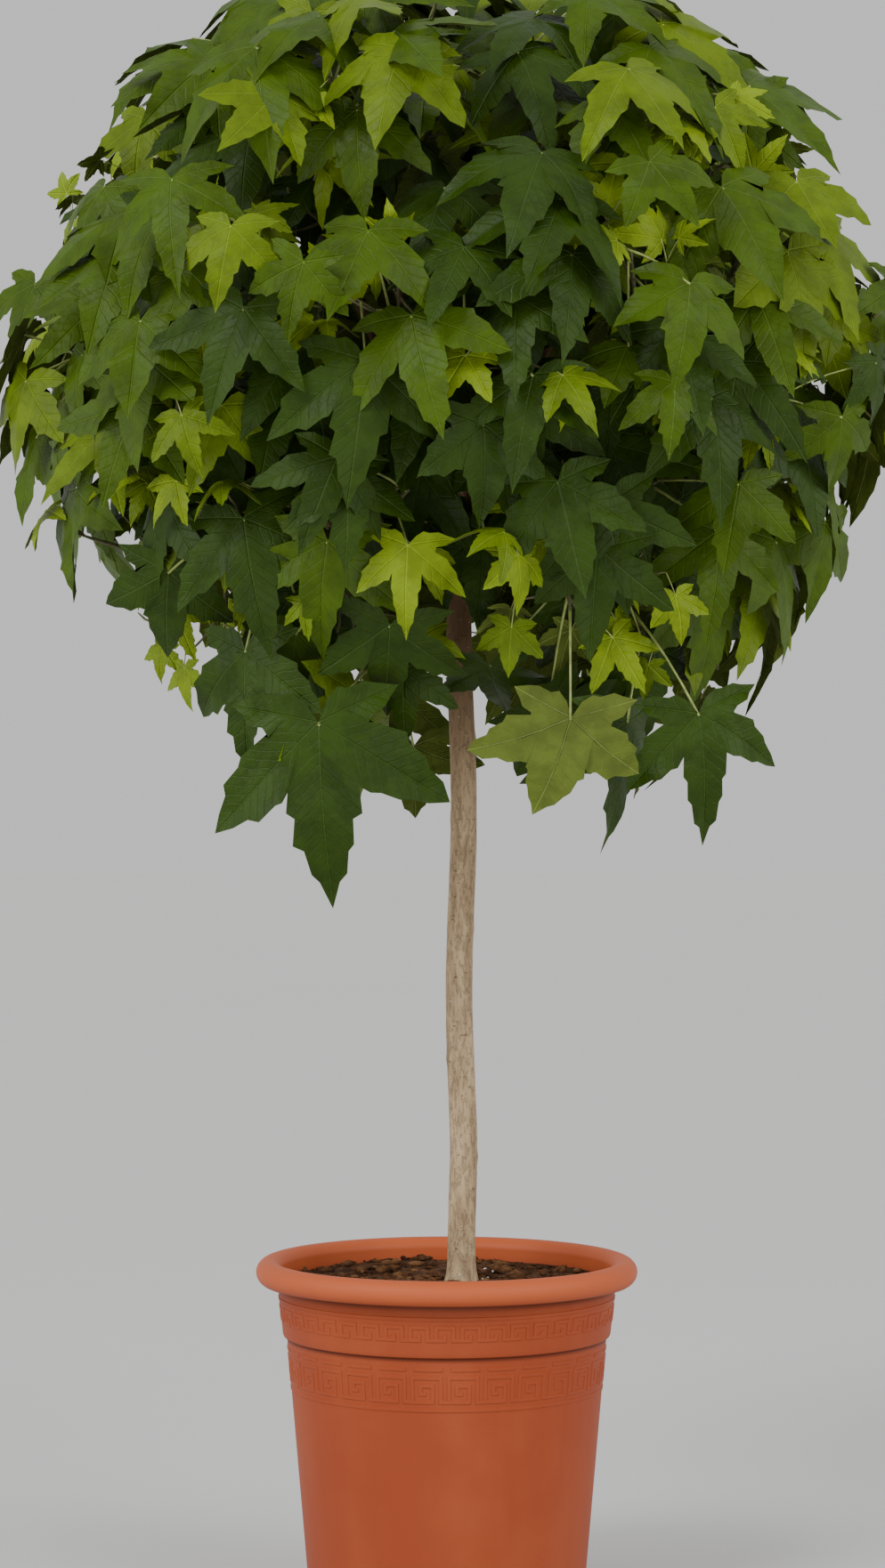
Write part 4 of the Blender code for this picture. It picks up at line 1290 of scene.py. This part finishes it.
def pot_profile():
    """The pot's wall from the middle of its floor, up the inside, over the rim and down."""
    roll = (RIM_RADIUS - RIM_ROLL_RADIUS, POT_HEIGHT - RIM_ROLL_RADIUS)
    inside = [
        (0.0, POT_FLOOR),
        (BASE_RADIUS - POT_WALL - 0.004, POT_FLOOR),
        (BASE_RADIUS - POT_WALL, POT_FLOOR + 0.004),
        (BODY_TOP_RADIUS - POT_WALL, COLLAR_FOOT_HEIGHT),
        (COLLAR_FOOT_RADIUS - POT_WALL, COLLAR_FOOT_HEIGHT + COLLAR_STEP),
        (COLLAR_TOP_RADIUS - POT_WALL, POT_HEIGHT - RIM_ROLL_RADIUS),
    ]
    over = arc(roll, RIM_ROLL_RADIUS, 170, -60, 22)
    under = arc(roll, RIM_ROLL_RADIUS - POT_WALL, -60, 160, 12)

    top, foot = roll[1] - RIM_ROLL_RADIUS, COLLAR_FOOT_HEIGHT

    def collar(z):
        return blend(COLLAR_FOOT_RADIUS, COLLAR_TOP_RADIUS, (z - foot) / (top - foot))

    def body(z):
        return blend(BASE_RADIUS, BODY_TOP_RADIUS, (z - BODY_FOOT) / (BODY_TOP - BODY_FOOT))

    upper = rows_between(*UPPER_BAND_ENDS, len(UPPER_BAND))
    lower = rows_between(*LOWER_BAND_ENDS, len(LOWER_BAND))
    outside = [(collar(z), z) for z in (top, 0.3005, *upper, 0.2635, foot + 0.0022)]
    outside += [(collar(foot) - 0.0005, foot + 0.0006), (collar(foot) - 0.0018, foot - 0.0002)]
    outside.append((BODY_TOP_RADIUS + 0.0002, foot - COLLAR_FOOT_DROP))
    heights = (0.2540, *lower, 0.19, 0.15, 0.11, 0.07, 0.035, 0.012, 0.004)
    outside += [(body(z), z) for z in heights]
    lip = [(0.0007, 0.0012), (0.0025, 0.0), (0.012, 0.0), (0.014, 0.0012)]
    base = [(BASE_RADIUS - inward, z) for inward, z in lip] + [(0.02, 0.0012), (0.0, 0.0012)]
    return inside + over + under + outside + base


def raise_band(piece, rows, ends, height):
    """Raises the faces of one band of the wall that its pattern marks."""
    top, foot = ends
    edit(piece, "DESELECT")
    cage = bmesh.from_edit_mesh(piece.data)
    for face in cage.faces:
        middle = face.calc_center_median()
        out = math.hypot(middle.x, middle.y)
        if face.normal.dot(middle) < 0 or not foot < middle.z < top or out < BASE_RADIUS:
            continue
        column = int((math.atan2(middle.y, middle.x) % math.tau) / math.tau * POT_COLUMNS)
        row = int((top - middle.z) / (top - foot) * len(rows))
        if rows[row][column % len(rows[0])] == "#":
            face.select_set(True)
    bmesh.update_edit_mesh(piece.data)
    bpy.ops.mesh.inset(thickness=0.0005, depth=height, use_even_offset=True)
    bpy.ops.object.mode_set(mode="OBJECT")


class SWEETGUM_OT_pot(bpy.types.Operator):
    """Turn the pot, raise its key pattern and cut its drain holes"""

    bl_idname = "sweetgum.pot"
    bl_label = "Pot"

    def execute(self, context):
        settings = context.scene.sweetgum_pot
        pot = lathe("moulded_pot", pot_profile(), POT_COLUMNS)
        raise_band(pot, UPPER_BAND, UPPER_BAND_ENDS, settings.relief)
        raise_band(pot, LOWER_BAND, LOWER_BAND_ENDS, settings.relief)
        for i in range(DRAIN_HOLES):
            turn = math.tau * (i + 0.5) / DRAIN_HOLES
            place = (DRAIN_RING_RADIUS * math.cos(turn), DRAIN_RING_RADIUS * math.sin(turn), 0)
            bpy.ops.object.select_all(action="DESELECT")
            bpy.ops.mesh.primitive_cylinder_add(
                vertices=24, radius=DRAIN_RADIUS, depth=POT_FLOOR * 4, location=place
            )
            cutter = bpy.context.object
            apply_modifier(pot, "BOOLEAN", operation="DIFFERENCE", object=cutter, solver="EXACT")
            bpy.data.objects.remove(cutter, do_unlink=True)
        done(pot, 32)
        finish_piece(pot, moulded_plastic(settings), "terracotta_plastic", "pot")
        return {"FINISHED"}


def lumpy(point):
    """How high the soil stands over its level at a place."""
    out = math.hypot(point.x - TRUNK_OFFSET, point.y)
    rise = 0.0006
    for scale, layer, height in ((24, 3.7, 0.0065), (95, 9.1, 0.0026), (260, 1.3, 0.0007)):
        rise += noise.noise(Vector((point.x * scale, point.y * scale, layer))) * height
    return rise * min(1, max(0, (out - 0.014) / 0.02))


def crumb_shape(dice, flat=0.7):
    """A small angular crumb: two rings of five jittered corners between two ends."""
    points = []
    for z, out in ((-1, 0.0), (-0.45, 0.85), (0.4, 0.9), (1, 0.0)):
        for k in range(5 if out else 1):
            turn = math.tau * (k + (0.5 if z > 0 else 0)) / 5
            away = out * dice.uniform(0.7, 1.25)
            points.append((math.cos(turn) * away, math.sin(turn) * away, z * flat))
    faces = [(0, 1 + (k + 1) % 5, 1 + k) for k in range(5)]
    faces += [(11, 6 + k, 6 + (k + 1) % 5) for k in range(5)]
    for k in range(5):
        n = (k + 1) % 5
        faces += [(1 + k, 1 + n, 6 + k), (1 + n, 6 + n, 6 + k)]
    return np.array(points), faces


def scatter(name, count, sizes, dice, place_of):
    """Crumbs of random shape, size and turn, each lying on the soil at a place of its own."""
    heap = Heap()
    for _ in range(count):
        points, faces = crumb_shape(dice)
        size, turn = dice.uniform(*sizes), dice.uniform(0, math.tau)
        stretch = np.array([dice.uniform(0.6, 2.4), dice.uniform(0.5, 1.1), dice.uniform(0.5, 1.1)])
        cos, sin = math.cos(turn), math.sin(turn)
        spin = np.array([[cos, sin, 0], [-sin, cos, 0], [0, 0, 1]])
        x, y = place_of(dice)
        z = SOIL_LEVEL + lumpy(Vector((x, y, 0))) + size * 0.25
        heap.add((points * stretch * size) @ spin + np.array([x, y, z]), faces)
    return heap.piece(name)


class SWEETGUM_OT_soil(bpy.types.Operator):
    """Fill the pot with lumpy potting mix, with crumbs and white grains on it"""

    bl_idname = "sweetgum.soil"
    bl_label = "Soil"

    def execute(self, context):
        settings = context.scene.sweetgum_pot
        inset = POT_WALL + SEAT_GAP
        low = COLLAR_FOOT_HEIGHT + COLLAR_STEP
        share = (SOIL_LEVEL - low) / (POT_HEIGHT - RIM_ROLL_RADIUS - low)
        edge = blend(COLLAR_FOOT_RADIUS, COLLAR_TOP_RADIUS, share) - inset
        profile = [(edge * i / 70, SOIL_LEVEL) for i in range(71)]
        profile += [
            (COLLAR_FOOT_RADIUS - inset, COLLAR_FOOT_HEIGHT + COLLAR_STEP),
            (BODY_TOP_RADIUS - inset, COLLAR_FOOT_HEIGHT),
            (BASE_RADIUS - inset, POT_FLOOR + 0.005),
            (BASE_RADIUS - inset - 0.004, POT_FLOOR + SEAT_GAP),
            (0.0, POT_FLOOR + SEAT_GAP),
        ]
        soil = lathe("potting_soil", profile, 180)
        for vertex in soil.data.vertices:
            if vertex.co.z > SOIL_LEVEL - 1e-4:
                inner = math.hypot(vertex.co.x, vertex.co.y) / edge
                vertex.co.z += lumpy(vertex.co) * min(1, (1.0 - inner) * 12)
        done(soil, 60)
        finish = potting_mix("potting_mix", settings.soil, (0.110, 0.050, 0.022))
        finish_piece(soil, finish, "potting_soil", "soil")
        dice = random.Random(SEED + 5)

        def anywhere(dice):
            while True:
                out, turn = (edge - 0.008) * math.sqrt(dice.random()), dice.uniform(0, math.tau)
                x, y = out * math.cos(turn), out * math.sin(turn)
                if math.hypot(x - TRUNK_OFFSET, y) > 0.020:
                    return x, y

        def by_trunk(dice):
            while True:
                x, y = dice.gauss(0.034, 0.007), dice.gauss(0.040, 0.045)
                if math.hypot(x - TRUNK_OFFSET, y) > 0.020 and math.hypot(x, y) < edge - 0.01:
                    return x, y

        for name, count, sizes, place_of, finish, dark, light in (
            ("soil_crumbs", settings.crumbs, (0.0012, 0.0042), anywhere,
             "crumb_brown", settings.soil, (0.130, 0.052, 0.019)),
            ("bark_chips", settings.crumbs // 5, (0.0025, 0.0068), anywhere,
             "chip_brown", (0.060, 0.024, 0.010), (0.190, 0.092, 0.038)),
            ("perlite_grains", settings.perlite, (0.0010, 0.0026), by_trunk,
             "perlite_white", (0.55, 0.52, 0.46), (0.80, 0.78, 0.74)),
        ):
            loose = scatter(name, count, sizes, dice, place_of)
            finish_piece(loose, potting_mix(finish, dark, light), "potting_soil", "soil")
        return {"FINISHED"}


def relief_of(turn, height, depth):
    """How far the trunk's skin stands out: upright furrows, knots and fine rings."""
    x, y, out = math.cos(turn) * 0.5, math.sin(turn) * 0.5, 0
    for around, along, share in ((9, 26, 0.9), (22, 60, 0.45), (3, 210, 0.25)):
        out += noise.noise(Vector((x * around, y * around, height * along))) * share * depth
    for knot_height, knot_turn, wide, high in KNOTS:
        around = abs((turn - knot_turn + math.pi) % math.tau - math.pi)
        gap = ((height - knot_height) / wide) ** 2 + (around / 0.75) ** 2
        out += high * math.exp(-gap) - 0.5 * high * math.exp(-gap * 14)
    return out


class SWEETGUM_OT_limbs(bpy.types.Operator):
    """Model the trunk and its boughs with the relief of their bark"""

    bl_idname = "sweetgum.limbs"
    bl_label = "Trunk and boughs"

    def execute(self, context):
        settings = context.scene.sweetgum_limbs
        foot = SOIL_LEVEL - TRUNK_SUNK
        heights = rows_between(foot, TRUNK_TIP_HEIGHT, int((TRUNK_TIP_HEIGHT - foot) / TRUNK_STEP))
        path = [trunk_centre(z) for z in heights]
        radii = [trunk_radius(max(z, SOIL_LEVEL)) for z in heights]
        trunk = limb("bark_trunk", path, radii, 16)
        for vertex in trunk.data.vertices:
            gap = vertex.co - trunk_centre(vertex.co.z)
            gap.z = 0
            if gap.length >= 0.004:
                turn = math.atan2(gap.y, gap.x)
                vertex.co += gap.normalized() * relief_of(turn, vertex.co.z, settings.relief)
        done(trunk, 60)
        finish_piece(trunk, bark("trunk_bark_relief", settings), "trunk_bark", "trunk")
        boughs, steps = [], 22
        for mass in MASSES:
            path = mass.bough_path(steps)
            radii = [mass.bough_radius * (1 - 0.22 * i / steps) for i in range(steps + 1)]
            for i, point in enumerate(path):
                out = (point - mass.seat).length
                if not mass.upright:
                    radii[i] += 0.0022 * math.exp(-max(0, out - 0.011) / 0.006)
                radii[i] *= 1 + 0.06 * noise.noise(point * 70)
                bend = Vector([noise.noise(point * 18 + Vector((9 * k, 0, 0))) for k in range(3)])
                path[i] = point + bend * 0.0016 * math.sin(math.pi * i / steps)
            bough = limb(f"bark_bough_{mass.name}", path, radii, 3)
            for vertex in bough.data.vertices:
                vertex.co += vertex.normal * noise.noise(vertex.co * 160) * 0.0004
            boughs.append(bough)
        boughs = join(boughs, "bark_boughs")
        done(boughs, 60)
        finish = bark("bough_bark_relief", settings)
        finish_piece(boughs, finish, "bough_bark", *nodes_named("bough"))
        return {"FINISHED"}


class SWEETGUM_OT_twigs(bpy.types.Operator):
    """Grow the twigs and shoots that carry on from the boughs' tips"""

    bl_idname = "sweetgum.twigs"
    bl_label = "Twigs"

    def execute(self, context):
        settings = context.scene.sweetgum_limbs
        heap, hint = Heap(), np.array([0.31, -0.23, 0.92])
        for number, twig in enumerate(grown().twigs):
            path, radii, bends = [], [], random.Random(number)
            first, last = twig.path[0], twig.path[-1]
            middle = twig.path[len(twig.path) // 2] * 2 - (first + last) * 0.5
            for i in range(7):
                sway = jitter(bends) * 0.0008 * (0 < i < 6)
                path.append(bezier(first, middle, last, i / 6) + sway)
                radius = blend(twig.radii[0], twig.radii[-1], i / 6)
                radii.append(radius * (1.10 if i % 3 == 1 else 0.97) * (1 if i < 6 else 0.55))
            heap.add(*tube_arrays(path, radii, 6, hint))
        twigs = heap.piece("fine_twigs")
        grain, wood = (260, 4, 0.6, (1, 1, 0.5)), settings.young_wood
        finish = mottled("twig_bark", wood, 0.55, grain, 0.62, 0.2, (0.3, 0.7), 0.0005)
        finish_piece(twigs, finish, "bough_bark", *nodes_named("foliage"))
        return {"FINISHED"}


class SWEETGUM_OT_leaves(bpy.types.Operator):
    """Grow the leaves: blades by tint, their undersides, ribs and stalks"""

    bl_idname = "sweetgum.leaves"
    bl_label = "Leaves"

    def execute(self, context):
        settings = context.scene.sweetgum_leaves
        blades = [Blade(random.Random(SEED + 20 + i)) for i in range(BLADE_SHAPES)]
        tops, stalks = {tint: Heap() for tint in TINTS}, Heap()
        unders, ribs = {age_and_light: Heap() for age_and_light in AGES_AND_LIGHT}, {age_and_light: Heap() for age_and_light in AGES_AND_LIGHT}
        dice = random.Random(SEED + 9)
        for leaf in grown().leaves:
            blade = blades[dice.randrange(len(blades))]
            tint = self.tint_of(leaf, dice)
            # Bright leaves carry painted light, and share the young ones' paler undersides and ribs
            age_and_light = "_young" if tint in ("bright", "young") else ""
            points, uv = self.posed_blade(blade, leaf, dice), np.array(blade.uv) * leaf.size
            down = np.array(leaf.normal) * settings.thickness
            below = points - down * np.where(blade.edge, EDGE_THICKNESS, 1.0)[:, None]
            flipped = [[face[0], *face[:0:-1]] for face in blade.faces]
            tops[tint].add(points, blade.faces, uv, blade.rib)
            unders[age_and_light].add(below, flipped, uv[blade.back], blade.rib)
            self.add_ribs(ribs[age_and_light], blade, points - down, leaf)
            self.add_stalk(stalks, leaf, dice)
        made = []
        for tint, heap in tops.items():
            finish = leaf_finish(f"leaf_{tint}", getattr(settings, tint), 0.34, 0.3)
            made.append((f"blades_{tint}", heap, finish))
        for age_and_light, shade in AGES_AND_LIGHT.items():
            under = scaled(settings.under, shade[0])
            finish = leaf_finish(f"leaf_undersides{age_and_light}", under, 0.62, 0.5)
            made.append((f"undersides{age_and_light}", unders[age_and_light], finish))
        for age_and_light, shade in AGES_AND_LIGHT.items():
            rib = scaled(settings.stalk, shade[1])
            finish = mottled(f"leaf_rib{age_and_light}", rib, 0.8, (60, 2, 0.5), 0.5, 0.1)
            made.append((f"ribs{age_and_light}", ribs[age_and_light], finish))
        finish = mottled("leaf_stalk", settings.stalk, 0.6, (120, 3, 0.6), 0.45, 0.1, (0.3, 0.7))
        made.append(("leaf_stalks", stalks, finish))
        for name, heap, finish in made:
            if heap.count:
                finish_piece(heap.piece(name), finish, "leaf_green", *nodes_named("foliage"))
        return {"FINISHED"}

    def posed_blade(self, blade, leaf, dice):
        """The blade turned to the light, as far as it then stays inside the crown."""
        twist, bends = turned(leaf, dice), dice.random()
        straight = leaf.normal.copy()
        for share in (0,) if leaf.posed else (1, 0.5, 0):
            leaf.normal = straight.copy()
            leaf.normal.rotate(Quaternion().slerp(twist, share))
            points = bent_blade(blade, leaf, random.Random(bends))
            if furthest_out(points) < 1.0:
                break
        return points

    def tint_of(self, leaf, dice):
        value = leaf.tint + dice.uniform(-0.12, 0.12)
        return TINTS[sum(value >= step for step in TINT_STEPS)]

    def add_ribs(self, heap, blade, points, leaf):
        """A three-sided rib under each lobe, thinner towards its tip."""
        for numbers in blade.ribs:
            path = points[numbers[:-1:2]]
            radii = 0.0050 * leaf.size * np.linspace(1, 0.3, len(path))
            heap.add(*tube_arrays(path, radii, 3, np.array(leaf.normal)))

    def add_stalk(self, heap, leaf, dice):
        """A stalk that bows upwards a little, thickest where it leaves the twig."""
        root, base = leaf.root, leaf.base
        inward = base + leaf.axis * 0.02 * leaf.size - leaf.normal * 0.0003
        bow = Vector((0, 0, (base - root).length * dice.uniform(0.03, 0.10)))
        stops = np.linspace(0, 1, 5)
        path = [bezier(root, (root + base) / 2 + bow, inward, t) for t in stops]
        radii = 0.00100 + 0.0006 * (1 - stops) ** 3 + 0.0003 * stops**4
        radii *= min(1, leaf.size / 0.09)
        heap.add(*tube_arrays(path, radii, 5, np.array([0.37, 0.41, 0.23])))


class SWEETGUM_OT_stage(bpy.types.Operator):
    """Lay the floor, set soft studio lights and the camera at the photograph's angle"""

    bl_idname = "sweetgum.stage"
    bl_label = "Stage"

    def execute(self, context):
        settings = context.scene.sweetgum_stage
        bpy.ops.object.select_all(action="DESELECT")
        bpy.ops.mesh.primitive_circle_add(vertices=96, radius=FLOOR_RADIUS, fill_type="NGON")
        floor = bpy.context.object
        floor.name = "floor"
        edit(floor)
        bpy.ops.mesh.poke()
        done(floor)
        finish = mottled("studio_floor", settings.floor, 0.97, (0.8, 2, 0.5), 0.75, 0.1)
        floor.data.materials.append(finish)
        world = bpy.data.worlds.new("studio")
        context.scene.world = world
        world.use_nodes = True
        sky = world.node_tree.nodes["Background"]
        sky.inputs["Color"].default_value = (1, 1, 1, 1)
        sky.inputs["Strength"].default_value = SKY_STRENGTH
        for name, kind, place, size, power in LIGHTS:
            lamp = bpy.data.lights.new(name, kind)
            if kind == "SUN":
                lamp.angle = math.radians(size)
            else:
                lamp.shape, lamp.size = "DISK", size
            lamp.energy = power
            holder = bpy.data.objects.new(name, lamp)
            holder.location = place
            heading = Vector(LIT_POINT) - Vector(place)
            holder.rotation_euler = heading.to_track_quat("-Z", "Y").to_euler()
            context.scene.collection.objects.link(holder)
        camera = bpy.data.objects.new("camera", bpy.data.cameras.new("camera"))
        camera.data.lens, camera.data.sensor_width = settings.lens, SENSOR_WIDTH
        camera.location = (CAMERA_SHIFT, -settings.distance, settings.height)
        camera.rotation_euler = (math.radians(90), 0, 0)
        context.scene.collection.objects.link(camera)
        context.scene.camera = camera
        return {"FINISHED"}


class SWEETGUM_PT_panel(bpy.types.Panel):
    bl_idname = "SWEETGUM_PT_panel"
    bl_label = "Potted sweetgum"
    bl_space_type = "VIEW_3D"
    bl_region_type = "UI"
    bl_category = "Sweetgum"

    def draw(self, context):
        for operator, group in STEPS:
            box = self.layout.box()
            box.operator(operator.bl_idname)
            if group:
                held = getattr(context.scene, group)
                for name in held.bl_rna.properties.keys()[2:]:
                    box.prop(held, name)


STEPS = (
    (SWEETGUM_OT_pot, "sweetgum_pot"),
    (SWEETGUM_OT_soil, None),
    (SWEETGUM_OT_limbs, "sweetgum_limbs"),
    (SWEETGUM_OT_twigs, None),
    (SWEETGUM_OT_leaves, "sweetgum_leaves"),
    (SWEETGUM_OT_stage, "sweetgum_stage"),
)
GROUPS = {
    "sweetgum_pot": PotSettings,
    "sweetgum_limbs": LimbSettings,
    "sweetgum_leaves": LeafSettings,
    "sweetgum_stage": StageSettings,
}


def register():
    for group in GROUPS.values():
        bpy.utils.register_class(group)
    for name, group in GROUPS.items():
        setattr(bpy.types.Scene, name, PointerProperty(type=group))
    for operator, _ in STEPS:
        bpy.utils.register_class(operator)
    bpy.utils.register_class(SWEETGUM_PT_panel)


def unregister():
    bpy.utils.unregister_class(SWEETGUM_PT_panel)
    for operator, _ in reversed(STEPS):
        bpy.utils.unregister_class(operator)
    for name, group in GROUPS.items():
        delattr(bpy.types.Scene, name)
        bpy.utils.unregister_class(group)


def main():
    register()
    for operator, _ in STEPS:
        group, name = operator.bl_idname.split(".")
        getattr(getattr(bpy.ops, group), name)()


if __name__ == "__main__":
    main()
